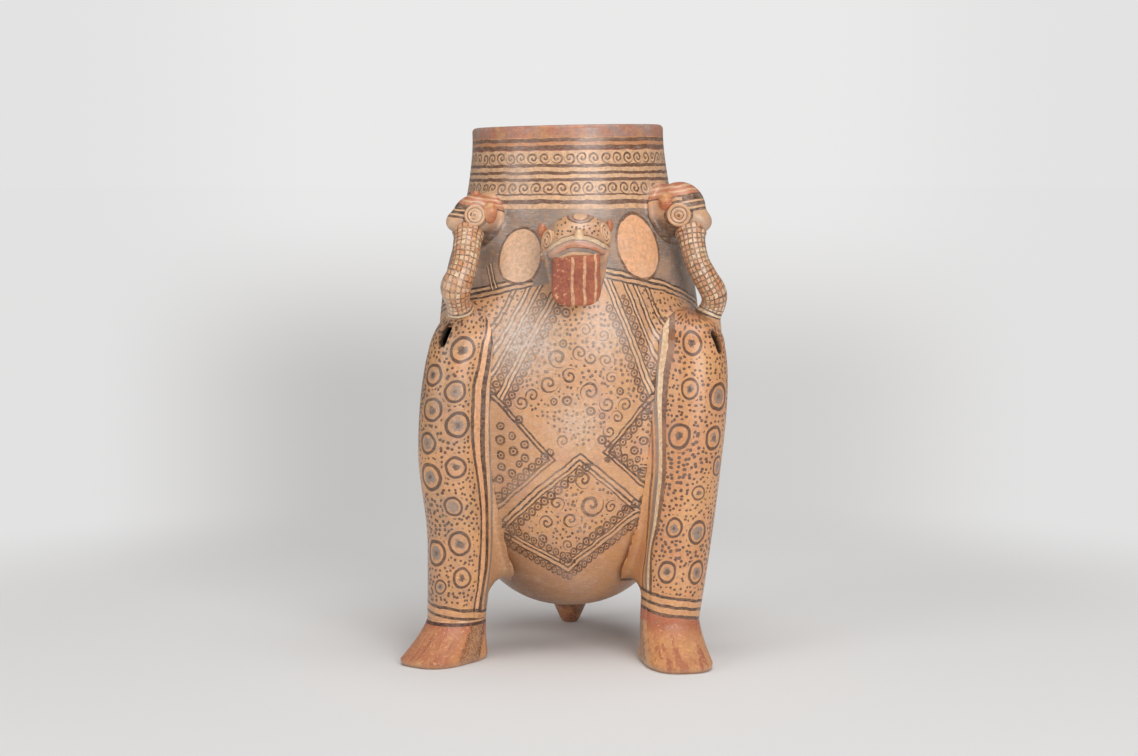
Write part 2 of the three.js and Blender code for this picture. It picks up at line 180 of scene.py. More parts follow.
@dataclass(frozen=True)
class JarForm:
    """The outside of the body and collar, a surface of revolution that leans above the shoulder.

    Attributes:
        bottom: The height of the body's lowest point.
        widest: The height at which it is widest.
        radius: Its radius there.
        fullness: The power of the curve below, 2 for an ellipse.
        shoulder: The height at which the collar starts.
        shoulder_radius: The radius there.
        shoulder_curve: The power of the curve between.
        height: The height of the lip.
        lean: How far the collar leans to the left for each millimetre of height.
        tilt: How far its mouth falls to the left for each millimetre of width.
        collar: The collar's radius over its height.
    """

    bottom: float = 22.0
    widest: float = 170.0
    radius: float = 84.0
    fullness: float = 2.35
    shoulder: float = 272.0
    shoulder_radius: float = 67.0
    shoulder_curve: float = 2.7
    height: float = 328.87
    lean: float = 0.022
    tilt: float = 0.02
    collar: Course = Course(((272, 67), (284, 65.4), (294, 63.6), (304, 62.2), (315, 61), (328.87, 60.5)))

    def radius_at(self, z: Points | float) -> Points:
        """Gives the outside radius at a height.

        Args:
            z: Heights in millimetres.

        Returns:
            The radius at each height.
        """
        z = np.atleast_1d(np.asarray(z, dtype=float))
        drop = np.clip((self.widest - z) / (self.widest - self.bottom), 0, 1)
        low = self.radius * (1 - drop**self.fullness) ** (1 / self.fullness)
        rise = np.clip((z - self.widest) / (self.shoulder - self.widest), 0, 1)
        high = self.shoulder_radius + (self.radius - self.shoulder_radius) * (1 - rise**self.shoulder_curve)
        return np.where(z < self.widest, low, np.where(z < self.shoulder, high, self.collar.at(z)[:, 0]))

    def leaning(self, points: Points) -> Points:
        """Lets what stands above the shoulder lean and tilt to the left.

        Args:
            points: Places on the upright jar.

        Returns:
            The places on the jar as the potter left it.
        """
        rise = np.maximum(0, points[:, 2] - self.shoulder)
        moved = points.copy()
        moved[:, 2] += self.tilt * points[:, 0] * rise / (self.height - self.shoulder)
        moved[:, 0] -= self.lean * rise
        return moved

    def distance(self, points: Points) -> Points:
        """Gives how far points are outside the jar.

        Args:
            points: Places, one row each.

        Returns:
            The distance for each point, negative inside.
        """
        upright = points.copy()
        rise = np.maximum(0, points[:, 2] - self.shoulder)
        upright[:, 0] += self.lean * rise
        upright[:, 2] -= self.tilt * upright[:, 0] * rise / (self.height - self.shoulder)
        reach = np.hypot(upright[:, 0], upright[:, 1])
        z = upright[:, 2]
        deep = self.widest - self.bottom
        across, down = reach / self.radius, np.maximum(0, self.widest - z) / deep
        n = self.fullness
        level = (across**n + down**n) ** (1 / n)
        safe = np.maximum(level, 1e-6) ** (1 - n)
        slope = np.hypot(across ** (n - 1) * safe / self.radius, down ** (n - 1) * safe / deep)
        low = (level - 1) / np.maximum(slope, 1e-6)
        change = (self.radius_at(z + 1) - self.radius_at(z - 1)) / 2
        high = (reach - self.radius_at(z)) / np.sqrt(1 + change**2)
        return np.where(z < self.widest, low, high)

    def outline(self, grow: float, steps: int) -> list[tuple[float, float]]:
        """Lists the body's outline from the bottom to the shoulder.

        Args:
            grow: How far the outline is pushed out.
            steps: How many points the lower part has.

        Returns:
            Pairs of radius and height.
        """
        points = []
        for i in range(steps + 1):
            turn = -math.pi / 2 * (1 - i / steps)
            z = self.widest + (self.widest - self.bottom) * math.sin(turn)
            radius = float(self.radius_at(z)[0]) + grow * math.cos(turn)
            points.append((0.0 if i == 0 else radius, z + grow * math.sin(turn)))
        rise = steps * 2 // 3
        for i in range(1, rise + 1):
            z = self.widest + (self.shoulder - self.widest) * i / rise
            points.append((float(self.radius_at(z)[0]) + grow, z))
        return points


JAR = JarForm()


@dataclass(frozen=True)
class LegForm:
    """A leg: a bent tube that ends in a dome.

    Attributes:
        sections: Height, centre x, centre y and radius, from the ankle up.
        dome: The height at which the dome starts.
        top: The height of the dome's top.
    """

    sections: Course
    dome: float
    top: float

    def distance(self, points: Points) -> Points:
        """Gives how far points are outside the leg.

        Args:
            points: Places, one row each.

        Returns:
            The distance for each point, negative inside.
        """
        place = self.sections.at(points[:, 2])
        reach = np.hypot(points[:, 0] - place[:, 0], points[:, 1] - place[:, 1])
        over = np.maximum(0, points[:, 2] - self.dome) / (self.top - self.dome)
        radius = self.sections.at(np.minimum(points[:, 2], self.dome))[:, 2]
        return (np.hypot(reach / radius, over) - 1) * radius


@dataclass(frozen=True)
class Egg:
    """An egg of clay.

    Attributes:
        centre: Its middle.
        half: Its half sizes along x, y and z.
        turn: Degrees that it is turned about z, then tipped about x and y.
    """

    centre: Triple
    half: Triple
    turn: Triple = (0.0, 0.0, 0.0)

    def distance(self, points: Points) -> Points:
        """Gives roughly how far points are outside the egg.

        Args:
            points: Places, one row each.

        Returns:
            The distance for each point, negative inside.
        """
        spin, tip, roll = (math.radians(angle) for angle in self.turn)
        frame_of = Matrix.Rotation(spin, 3, "Z") @ Matrix.Rotation(tip, 3, "X") @ Matrix.Rotation(roll, 3, "Y")
        local = (points - np.array(self.centre)) @ np.array(frame_of)
        half = np.array(self.half)
        near = np.linalg.norm(local / half, axis=1)
        steep = np.linalg.norm(local / half**2, axis=1)
        return near * (near - 1) / np.maximum(steep, 1e-9)


@dataclass(frozen=True)
class Lump:
    """Several forms smoothed into one lump of clay, with others pressed out of it.

    Attributes:
        parts: The forms that are added.
        hollows: The forms that are pressed out.
        soft: How wide the seams between them are smoothed.
    """

    parts: tuple[Form, ...]
    hollows: tuple[Form, ...] = ()
    soft: float = 3.0

    def distance(self, points: Points) -> Points:
        """Gives how far points are outside the lump.

        Args:
            points: Places, one row each.

        Returns:
            The distance for each point, negative inside.
        """
        total = self.parts[0].distance(points)
        for part in self.parts[1:]:
            other = part.distance(points)
            near = np.maximum(self.soft - np.abs(total - other), 0) / self.soft
            total = np.minimum(total, other) - near**2 * self.soft / 4
        for hollow in self.hollows:
            other = -hollow.distance(points)
            near = np.maximum(self.soft / 2 - np.abs(total - other), 0) / (self.soft / 2)
            total = np.maximum(total, other) + near**2 * self.soft / 8
        return total


@dataclass(frozen=True)
class CoilForm:
    """A coil of clay along a path.

    Attributes:
        course: Share of the length, then centre x, y, z and radius.
    """

    course: Course

    def distance(self, points: Points) -> Points:
        """Gives how far points are outside the coil.

        Args:
            points: Places, one row each.

        Returns:
            The distance for each point, negative inside.
        """
        line = self.course.at(np.linspace(0, 1, 60))
        gaps = np.linalg.norm(points[:, None, :] - line[None, :, :3], axis=2) - line[None, :, 3]
        return gaps.min(axis=1)


# The view that the painting is placed from


@dataclass(frozen=True)
class Sight:
    """The camera that looks at the jar, in millimetres from the jar's axis.

    Attributes:
        eye: Where the camera stands.
        pitch: Degrees that it looks down.
        middle: The pixel that the jar's axis is drawn on.
    """

    eye: Triple = (-0.32, -1500.0, 300.0)
    pitch: float = 5.03
    middle: tuple[float, float] = (569.0, 378.0)

    def touch(self, column: float, row: float, form: Form) -> Points:
        """Follows the line of sight through a pixel until it touches a form.

        Args:
            column: The pixel's column in the photograph.
            row: The pixel's row.
            form: The surface that it meets.

        Returns:
            The point that is met, as an array of three numbers.
        """
        down = math.radians(self.pitch)
        ahead = np.array([0.0, math.cos(down), -math.sin(down)])
        above = np.array([0.0, math.sin(down), math.cos(down)])
        side = np.array([1.0, 0.0, 0.0])
        line = ahead + side * (column - self.middle[0]) / FOCAL_PIXELS - above * (row - self.middle[1]) / FOCAL_PIXELS
        line /= np.linalg.norm(line)
        start, past, touching, caution = 1300, 60, 0.02, 0.7
        point = np.array(self.eye) + line * start
        for _ in range(400):
            gap = float(form.distance(point[None, :])[0])
            if gap < touching or point[1] > past:
                break
            point = point + line * max(gap, 2 * touching) * caution
        return point

    def seen(self, points: Points) -> tuple[Points, Points]:
        """Gives the pixels that show places on the jar.

        Args:
            points: Places, one row each.

        Returns:
            Their columns and their rows.
        """
        down = math.radians(self.pitch)
        away = points - np.array(self.eye)
        depth = away[:, 1] * math.cos(down) - away[:, 2] * math.sin(down)
        rise = away[:, 1] * math.sin(down) + away[:, 2] * math.cos(down)
        return self.middle[0] + FOCAL_PIXELS * away[:, 0] / depth, self.middle[1] - FOCAL_PIXELS * rise / depth

    def on_wall(self, column: float, row: float) -> tuple[float, float]:
        """Gives the place on the jar's wall that a pixel shows.

        Args:
            column: The pixel's column in the photograph.
            row: The pixel's row.

        Returns:
            How far round the wall it lies at the widest radius, and its height.
        """
        x, y, z = self.touch(column, row, JAR)
        x += JAR.lean * max(0.0, z - JAR.shoulder)
        z -= JAR.tilt * x * max(0.0, z - JAR.shoulder) / (JAR.height - JAR.shoulder)
        return math.atan2(x, -y) * JAR.radius, z

    def scale(self, column: float, row: float) -> float:
        """Gives how many pixels a millimetre is wide where a pixel shows the front of the jar.

        Args:
            column: The pixel's column in the photograph.
            row: The pixel's row.

        Returns:
            Pixels for each millimetre.
        """
        return FOCAL_PIXELS / float(np.linalg.norm(self.touch(column, row, JAR) - np.array(self.eye)))

    def stand(self) -> None:
        """Makes the scene's camera."""
        data = bpy.data.cameras.new("view_camera")
        data.sensor_width = SENSOR_WIDTH
        data.lens = FOCAL_PIXELS / PHOTO_WIDTH * SENSOR_WIDTH
        data.clip_start, data.clip_end = 0.05, 60.0
        camera = bpy.data.objects.new("view_camera", data)
        bpy.context.scene.collection.objects.link(camera)
        camera.location = Vector(self.eye) * MM + AXIS
        camera.rotation_euler = (math.radians(90 - self.pitch), 0.0, 0.0)
        bpy.context.scene.camera = camera


SIGHT = Sight()


# Mesh work shared by the pieces


def spun(profile: Sequence[tuple[float, float]], steps: int) -> Clay:
    """Turns a profile about the vertical axis, as on a wheel.

    Args:
        profile: Pairs of radius and height. It closes on itself or at the axis.
        steps: How many sides the turn has.

    Returns:
        The closed mesh.
    """
    bm = bmesh.new()
    row = [bm.verts.new((radius, 0.0, height)) for radius, height in profile]
    edges = [bm.edges.new(pair) for pair in zip(row, row[1:])]
    bmesh.ops.spin(bm, geom=row + edges, axis=(0, 0, 1), angle=math.tau, steps=steps, use_merge=True)
    bmesh.ops.remove_doubles(bm, verts=bm.verts, dist=1e-4)
    bmesh.ops.recalc_face_normals(bm, faces=bm.faces)
    return bm


def finer(profile: Sequence[tuple[float, float]], spacing: float) -> list[tuple[float, float]]:
    """Adds points to a profile so that none lie further apart than the spacing.

    Args:
        profile: Pairs of radius and height.
        spacing: The widest step that is left.

    Returns:
        The profile with the points added.
    """
    points = [profile[0]]
    for (r0, z0), (r1, z1) in zip(profile, profile[1:]):
        parts = max(1, math.ceil(math.hypot(r1 - r0, z1 - z0) / spacing))
        points += [(r0 + (r1 - r0) * i / parts, z0 + (z1 - z0) * i / parts) for i in range(1, parts + 1)]
    return points


def places(bm: Clay) -> Points:
    """Reads where a mesh's vertices are.

    Args:
        bm: The mesh.

    Returns:
        One row per vertex.
    """
    return np.array([vertex.co[:] for vertex in bm.verts])


def put_places(bm: Clay, points: Points) -> None:
    """Moves a mesh's vertices.

    Args:
        bm: The mesh.
        points: Where they go, one row per vertex.
    """
    for vertex, place in zip(bm.verts, points):
        vertex.co = place


def note(bm: Clay, name: str, values: Points) -> None:
    """Notes a measure on every vertex, for the painting.

    Args:
        bm: The mesh.
        name: The attribute's name.
        values: One number or one row of three per vertex.
    """
    layers = bm.verts.layers.float if values.ndim == 1 else bm.verts.layers.float_vector
    layer = layers.new(name)
    for vertex, value in zip(bm.verts, values.tolist()):
        vertex[layer] = value


def made(name: str, bm: Clay, place: Matrix) -> bpy.types.Object:
    """Makes an object of a mesh.

    Args:
        name: The object's name.
        bm: The mesh. It is used up.
        place: The matrix that sets it in the row's frame.

    Returns:
        The object, linked to the scene.
    """
    bmesh.ops.transform(bm, matrix=place, verts=bm.verts)
    mesh = bpy.data.meshes.new(name)
    bm.to_mesh(mesh)
    bm.free()
    thing = bpy.data.objects.new(name, mesh)
    bpy.context.scene.collection.objects.link(thing)
    return thing


def smoothed_on(bm: Clay, form: Form, width: float, where: Points | None = None) -> None:
    """Draws a piece's clay out on to another form, as a thumb smooths a joint.

    Args:
        bm: The piece's mesh.
        form: What it is luted to.
        width: How far from the joint the clay is drawn.
        where: Which vertices may move, all of them where it is left out.
    """
    bm.normal_update()
    points = places(bm)
    normals = np.array([vertex.normal[:] for vertex in bm.verts])
    gap = form.distance(points)
    near = np.clip(1 - np.abs(gap) / width, 0, 1)
    touched = near > 0 if where is None else (near > 0) & where
    if not touched.any():
        return
    way = normals[touched] + gradient(form, points[touched])
    length = np.maximum(np.linalg.norm(way, axis=1, keepdims=True), 0.5)
    points[touched] += way / length * (near[touched, None] ** 2 * width / 4 / (length / 2))
    put_places(bm, points)


def kept_inside(bm: Clay, form: Form, depth: float = EMBEDDED) -> None:
    """Holds back the end of a piece that would come out on the far side of a wall.

    Args:
        bm: The piece's mesh.
        form: The wall's outside.
        depth: How far below the outside the piece may reach.
    """
    points = places(bm)
    gap = form.distance(points)
    deep = gap < -depth
    if deep.any():
        points[deep] += gradient(form, points[deep]) * (-depth - gap[deep])[:, None]
        put_places(bm, points)


def worked(bm: Clay, depth: float, grain: float) -> None:
    """Gives a surface the gentle unevenness of clay shaped by hand.

    Args:
        bm: The mesh.
        depth: How far it wavers.
        grain: How wide the waves are.
    """
    bm.normal_update()
    fine_grain, fine_share = grain * 0.37, 0.4
    for vertex in bm.verts:
        wave = noise.noise(vertex.co / grain) + fine_share * noise.noise(vertex.co / fine_grain)
        vertex.co -= vertex.normal * depth * (0.6 + 0.6 * wave)


def modelled(form: Form, core: Triple, reach: float, detail: int) -> Clay:
    """Models a lump of clay by drawing a ball's surface on to a form.

    Args:
        form: The form, which must be seen whole from its core.
        core: A point inside it.
        reach: A length that is longer than the form's reach from the core.
        detail: How often the ball's faces are divided.

    Returns:
        The closed mesh.
    """
    bm = bmesh.new()
    bmesh.ops.create_icosphere(bm, subdivisions=detail, radius=1.0)
    ways = places(bm)
    ways /= np.linalg.norm(ways, axis=1, keepdims=True)
    low, high = np.zeros(len(ways)), np.full(len(ways), reach)
    middle = np.array(core)
    halvings = 26
    for _ in range(halvings):
        half = (low + high) / 2
        inside = form.distance(middle + ways * half[:, None]) < 0
        low, high = np.where(inside, half, low), np.where(inside, high, half)
    put_places(bm, middle + ways * ((low + high) / 2)[:, None])
    return bm


class Slot(Enum):
    """The material slots."""

    PAINTED = "painted_clay"
    CREAM = "cream_slip"
    RED = "red_slip"
    BARE = "bare_clay"


@dataclass
class Piece:
    """A finished piece of the jar and what it stands for.

    Attributes:
        name: The piece's name, which is also that of the CAD node that it replaces.
        slot: The material slot for its finish. It is not used.
        body: The CAD body that it rides on.
        also: Further CAD nodes that it replaces.
    """

    name: str
    slot: Slot
    body: str = "vessel"
    also: tuple[str, ...] = ()

    def fire(self, bm: Clay, finish: Finish, crease: float = CREASE) -> bpy.types.Object:
        """Turns the modelled mesh into the finished object in the row's frame.

        Args:
            bm: The mesh in millimetres from the jar's axis. It is used up.
            finish: The material.
            crease: Degrees from which an edge stays sharp.

        Returns:
            The object, which rides on its body.
        """
        for face in bm.faces:
            face.smooth = True
        piece = made(self.name, bm, TO_FRAME)
        piece.data.set_sharp_from_angle(angle=math.radians(crease))
        piece.data.materials.append(finish)
        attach(piece, self.body)
        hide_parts(self.name, *self.also)
        LOG.info("%s: %d faces for %s", self.name, len(piece.data.polygons), ", ".join((self.name, *self.also)))
        return piece


# Finishes


def linear(hex_colour: str) -> tuple[float, float, float, float]:
    """Turns an sRGB hex colour to the linear values that Blender mixes.

    Args:
        hex_colour: Six hex digits after a hash.

    Returns:
        Red, green, blue and a full alpha.
    """
    values = (int(hex_colour[i : i + 2], 16) / 255 for i in (1, 3, 5))
    red, green, blue = (v / 12.92 if v <= 0.04045 else ((v + 0.055) / 1.055) ** 2.4 for v in values)
    return red, green, blue, 1.0


class Slip(Enum):
    """The slips and paints of this ware, by their colours in daylight, with the tones painted for shade and sheen."""

    TAN = "#D9A578"
    AMBER = "#D99F6C"
    OCHRE = "#D8A060"
    ORANGE = "#CF8A55"
    PEACH = "#E3B690"
    CREAM = "#EBCDA6"
    YELLOW = "#E2B286"
    APRICOT = "#EDB183"
    MAUVE = "#9C8078"
    RED = "#B8623F"
    CLAY_RED = "#BF7049"
    ROSE = "#C4917A"
    # A pale film of age, also laid on as painted sheen.
    HAZE = "#D9C7B9"
    # Painted shade for hollows that light does not reach.
    SOOT = "#3A2B22"
    DEEP_RED = "#9A4A33"
    DARK = "#42291D"
    BROWN = "#6C4328"
    GREY = "#877970"
    BARE = "#B58A66"

    @property
    def colour(self) -> tuple[float, float, float, float]:
        """The slip's colour in linear values."""
        return linear(self.value)


class Ware:
    """The node tree of one finish, built from the clay up."""

    def __init__(self, block: bpy.types.Material | bpy.types.World) -> None:
        """Starts a finish with an empty tree.

        Args:
            block: The material or the world that the tree belongs to.
        """
        self.block = block
        block.use_nodes = True
        self.tree = block.node_tree
        self.tree.nodes.clear()

    def add(self, kind: str, *inputs: Any, out: int | None = 0, **settings: Any) -> Any:
        """Adds a node with its settings and links.

        Args:
            kind: The node's kind without its ShaderNode prefix, with its operation after a dot where it has one.
            inputs: For each input in turn, a socket to link, a value to set or None. A pair gives the input's
                index first.
            out: The index of the output to return, or None for all of them.
            settings: Properties of the node.

        Returns:
            The chosen output or outputs. A node without any gives none.
        """
        kind, _, operation = kind.partition(".")
        node = self.tree.nodes.new("ShaderNode" + kind)
        if operation:
            settings["operation"] = operation
        for key, value in settings.items():
            setattr(node, key, value)
        for place, value in enumerate(inputs):
            index, value = value if isinstance(value, tuple) and len(value) == 2 else (place, value)
            if isinstance(value, Socket):
                self.tree.links.new(value, node.inputs[index])
            elif value is not None:
                node.inputs[index].default_value = value
        return node.outputs[out] if node.outputs and out is not None else tuple(node.outputs)


@dataclass(frozen=True)
class Curl:
    """A painted curl or ring, by the pixel of the view that shows its middle.

    Attributes:
        column: The pixel's column.
        row: The pixel's row.
        radius: Its radius there, in pixels.
        turn: How far it is turned, in whole turns.
        hand: 1 where it winds to the right, -1 to the left.
    """

    column: float
    row: float
    radius: float
    turn: float = 0.0
    hand: int = 1


@dataclass(frozen=True)
class Edge:
    """A straight painted edge on unrolled clay, measured for the stripes and beads that follow it.

    Attributes:
        along: How far along the edge a place lies, from its middle.
        out: How far it lies to the left of the edge's direction.
        length: The edge's length.
    """

    along: Socket
    out: Socket
    length: float


class Painting(Ware):
    """Slip and painted ornament on burnished earthenware, laid on from the ground up.

    It gives the eye a soft gloss, broken by fine dull scratches and by the film of age.
    """

    def __init__(self, name: str, ground: Slip, patch: Slip, gloss: float = 0.36, haze: float = 0.2) -> None:
        """Lays the ground slip, which the kiln left lighter here and darker there.

        Args:
            name: The material's name.
            ground: The ground slip.
            patch: The colour of the patches in it.
            gloss: The roughness where it is best burnished.
            haze: How much of the dull film on old burnish it has.
        """
        super().__init__(bpy.data.materials.new(name))
        self.gloss, self.haze = gloss, haze
        middle = tuple(-AXIS / MM)
        self.here = self.add("VectorMath.MULTIPLY_ADD", self.add("TexCoord", out=3), (1 / MM,) * 3, middle)
        self.cloud, self.rub, self.grit, tint = (
            self.add("TexNoise", self.here, None, *noise_kind) for noise_kind in (CLOUDS, RUBS, GRIT, TINTS)
        )
        waver = self.add("TexNoise", self.here, None, *WAVER, out=1)
        self.shaken = self.add("VectorMath.MULTIPLY_ADD", waver, (SHAKE,) * 3, (-SHAKE / 2,) * 3)
        self.colour = ground.colour
        for value, low, high, amount, slip in (
            (self.cloud, 0.4, 0.64, 1.0, patch), (tint, 0.52, 0.64, haze * 2.2, Slip.ROSE),
            (tint, 0.48, 0.36, 0.5 if haze else 0.0, Slip.OCHRE), (self.rub, 0.42, 0.75, 0.4, Slip.ORANGE),
        ):
            self.veil(self.add("MapRange", value, low, high, 0.0, amount), slip)
        tone = self.add("MapRange", self.cloud, 0.38, 0.62)
        self.ink = self.add("Mix", tone, (6, Slip.BROWN.colour), (7, Slip.DARK.colour), data_type="RGBA", out=2)

    def joined(self, operation: str, *values: Socket | float) -> Socket:
        """Joins several masks or measures, two at a time.

        Args:
            operation: How two are joined, such as MULTIPLY for masks that all have to be 1.
            values: The masks or measures.

        Returns:
            What they come to.
        """
        total, *others = values
        for other in others:
            total = self.add("Math." + operation, total, other)
        return total

    def veil(self, cover: Socket, paint: Slip | Socket) -> None:
        """Lays a paint over all that is there.

        Args:
            cover: How much it covers.
            paint: The slip or colour.
        """
        colour = paint.colour if isinstance(paint, Slip) else paint
        self.colour = self.add("Mix", cover, (6, self.colour), (7, colour), data_type="RGBA", out=2)

    def brush(self, mask: Socket, paint: Slip | Socket, worn: float = 0.5) -> None:
        """Paints where a mask is 1, thinner where the brush ran dry or the burnishing stone has rubbed it.

        Args:
            mask: Where it is painted.
            paint: The slip or colour.
            worn: How much is lost in the thinnest places.
        """
        thin = self.add("MapRange", self.rub, 0.4, 0.56, 1.0 - worn, 1.0)
        faded = self.add("MapRange", self.cloud, 0.64, 0.52, 1.0 - worn * 0.7, 1.0)
        self.veil(self.joined("MULTIPLY", mask, thin, faded), paint)

    def wash(self, value: Socket, low: float, high: float, amount: float, slip: Slip, worn: float) -> None:
        """Paints a slip that sets in gradually.

        Args:
            value: What it depends on.
            low: The value at which it sets in.
            high: The value at which it is full.
            amount: How much it covers there.
            slip: The slip.
            worn: How much is lost in the thinnest places.
        """
        self.brush(self.add("MapRange", value, low, high, 0.0, amount), slip, worn)

    def stripes(self, value: Socket, plan: Sequence[tuple[float, Slip | None]], *gates: Socket) -> None:
        """Paints stripes across a measured value.

        Args:
            value: What the stripes are counted on.
            plan: Where each stripe starts, with its slip, or None where the ground shows. The last row ends it.
            gates: Masks that all have to be 1 where it paints.
        """
        low, high = plan[0][0], plan[-1][0]
        share = self.add("MapRange", value, low, high)
        cover = self.add("ValToRGB", share, out=1)
        ramp = cover.node.color_ramp
        ramp.interpolation = "CONSTANT"
        for index, (start, slip) in enumerate(((low - 1, None), *plan)):
            place = min(max(0.004 + 0.992 * (start - low) / (high - low), 0.0), 1.0)
            stop = ramp.elements[index] if index < 2 else ramp.elements.new(place)
            stop.position = place
            stop.color = (*slip.colour[:3], 1.0) if slip else (0.5, 0.4, 0.3, 0.0)
        self.brush(self.joined("MULTIPLY", cover, *gates), cover.node.outputs[0], 0.35)

    def beside(self, edge: Edge) -> Socket:
        """Gives where places lie beside an edge and not past its ends."""
        return self.add("Math.LESS_THAN", self.add("Math.ABSOLUTE", edge.along), edge.length / 2)

    def oval(self, flat: Socket, centre: tuple[float, float], half: tuple[float, float]) -> Socket:
        """Measures places on unrolled clay from the middle of an oval.

        Args:
            flat: The place.
            centre: The oval's middle.
            half: Its half sizes.

        Returns:
            The distance, which is 1 on the oval.
        """
        (u, v), (wide, tall) = centre, half
        local = self.add("VectorMath.MULTIPLY_ADD", flat, (1 / wide, 1 / tall, 0.0), (-u / wide, -v / tall, 0.0))
        return self.add("VectorMath.LENGTH", local, out=1)

    def edge(self, flat: Socket, start: tuple[float, float], end: tuple[float, float]) -> Edge:
        """Measures places on unrolled clay from a straight edge.

        Args:
            flat: The place, with 1 as its third number.
            start: Where the edge starts.
            end: Where it ends.

        Returns:
            The measured edge.
        """
        length = math.dist(start, end)
        du, dv = (end[0] - start[0]) / length, (end[1] - start[1]) / length
        mu, mv = (start[0] + end[0]) / 2, (start[1] + end[1]) / 2
        along = self.add("VectorMath.DOT_PRODUCT", flat, (du, dv, -du * mu - dv * mv), out=1)
        out = self.add("VectorMath.DOT_PRODUCT", flat, (-dv, du, dv * mu - du * mv), out=1)
        return Edge(along, out, length)

    def beads(self, edge: Edge, offset: float, pitch: float, radius: float) -> Socket:
        """Strings beads along an edge.

        Args:
            edge: The edge.
            offset: How far to its left they lie.
            pitch: The distance from one to the next.
            radius: A bead's radius.

        Returns:
            How far a place lies from the nearest bead, in radii.
        """
        step = self.add("Math.PINGPONG", edge.along, pitch / 2)
        aside = self.add("Math.ADD", edge.out, -offset)
        far = self.add("Math.ABSOLUTE", edge.along)
        beyond = self.add("Math.MAXIMUM", self.add("Math.ADD", far, -edge.length / 2), 0.0)
        apart = self.add("VectorMath.LENGTH", self.add("CombineXYZ", step, aside, beyond), out=1)
        return self.add("Math.DIVIDE", apart, radius)

    def nearest(self, flat: Socket, marks: Sequence[tuple[float, float, float, float, float]]) -> tuple[Socket, Socket]:
        """Finds the nearest of several curls.

        Args:
            flat: The place, with 1 as its third number.
            marks: Each curl's two places, its two radii and its turn. A negative radius winds it the other way.

        Returns:
            The place within the nearest curl with its turn as the third number, and the distance from its middle,
            in radii.
        """
        best, near = None, None
        for u, v, wide, tall, turn in marks:
            local = self.add(
                "VectorMath.MULTIPLY_ADD", flat, (1 / wide, 1 / tall, 0.0), (-u / wide, -v / tall, turn * TURN_SHARE)
            )
            apart = self.add("VectorMath.LENGTH", local, out=1)
            if best is None:
                best, near = local, apart
                continue
            closer = self.add("Math.LESS_THAN", apart, near)
            best = self.add("Mix", closer, (4, best), (5, local), data_type="VECTOR", out=1)
            near = self.add("Math.MINIMUM", apart, near)
        return best, near

    def wound(self, inside: Socket, near: Socket, pitch: float = 0.78, line: float = 0.2) -> Socket:
        """Winds a curl from its rim in to its middle.

        Args:
            inside: The place within the curl, with its turn as the third number.
            near: The distance from its middle, in radii.
            pitch: How far one turn lies inside the last.
            line: How thick the line is, as a share of the pitch to each side.

        Returns:
            A mask of the line.
        """
        x, y, turn = self.add("SeparateXYZ", inside, out=None)
        start = self.add("Math.MULTIPLY", self.add("Math.ARCTAN2", y, x), -1 / math.tau)
        start = self.add("Math.MULTIPLY_ADD", turn, -1 / TURN_SHARE, start)
        arm = self.add("Math.FRACT", self.add("Math.MULTIPLY_ADD", near, 1 / pitch, start))
        inked = self.add("Math.COMPARE", arm, 0.5, line)
        return self.joined("MULTIPLY", inked, self.add("Math.LESS_THAN", near, 1.1))

    def ringed(self, near: Socket, core: float, rim: float = 0.24) -> Socket:
        """Draws rings with a dot in each.

        Args:
            near: The distance from the nearest ring's middle, in radii.
            core: The dot's radius.
            rim: Half the line's thickness.

        Returns:
            A mask of the lines and dots.
        """
        ring = self.add("Math.COMPARE", near, 1.0 - rim, rim)
        return self.add("Math.MAXIMUM", ring, self.add("Math.LESS_THAN", near, core))

    def dabs(self, flat: Socket, spacing: float, size: float) -> Socket:
        """Dots a surface with the tip of the brush.

        Args:
            flat: The place on the unrolled clay.
            spacing: How far apart the dots lie.
            size: A dot's radius.

        Returns:
            A mask of the dots.
        """
        near = self.add("TexVoronoi", flat, None, 1 / spacing, (8, 0.75), voronoi_dimensions="2D", feature="F1")
        reach = self.add("MapRange", self.cloud, 0.35, 0.65, size * 0.75 / spacing, size * 1.25 / spacing)
        return self.add("Math.LESS_THAN", near, reach)

    def burnished(self) -> Finish:
        """Rubs the painted surface with a stone, which leaves it glossy with fine dull scratches and pits.

        Returns:
            The finished material.
        """
        tone = self.add("MapRange", self.rub, 0.3, 0.72, 0.77, 1.15)
        tone = self.joined("MULTIPLY", tone, self.add("MapRange", self.grit, 0.3, 0.7, 0.86, 1.11))
        self.colour = self.add("VectorMath.SCALE", self.colour, (3, tone))
        film = self.add("MapRange", self.cloud, 0.52, 0.66, 0.0, self.haze)
        self.veil(self.joined("MULTIPLY", film, self.add("MapRange", self.rub, 0.35, 0.6, 0.3, 1.0)), Slip.HAZE)
        strokes = self.add("TexNoise", self.add("VectorMath.MULTIPLY", self.here, STROKE), None, *STROKES)
        self.veil(self.add("MapRange", strokes, 0.54, 0.7, 0.0, self.haze * 2.2), Slip.HAZE)
        gloss = self.add("MapRange", self.rub, 0.3, 0.7, self.gloss - 0.1, self.gloss + 0.22)
        height = self.add("Math.MULTIPLY_ADD", self.rub, 0.6, self.add("Math.MULTIPLY", self.grit, 0.4))
        bump = self.add("Bump", 0.7, BUMP_DEPTH, (3, height))
        shader = self.add("BsdfPrincipled", self.colour, None, gloss, (5, bump))
        for name, value in (("Coat Weight", 0.6), ("Coat Roughness", 0.27)):
            shader.node.inputs[name].default_value = value
        self.add("OutputMaterial", shader)
        return self.block


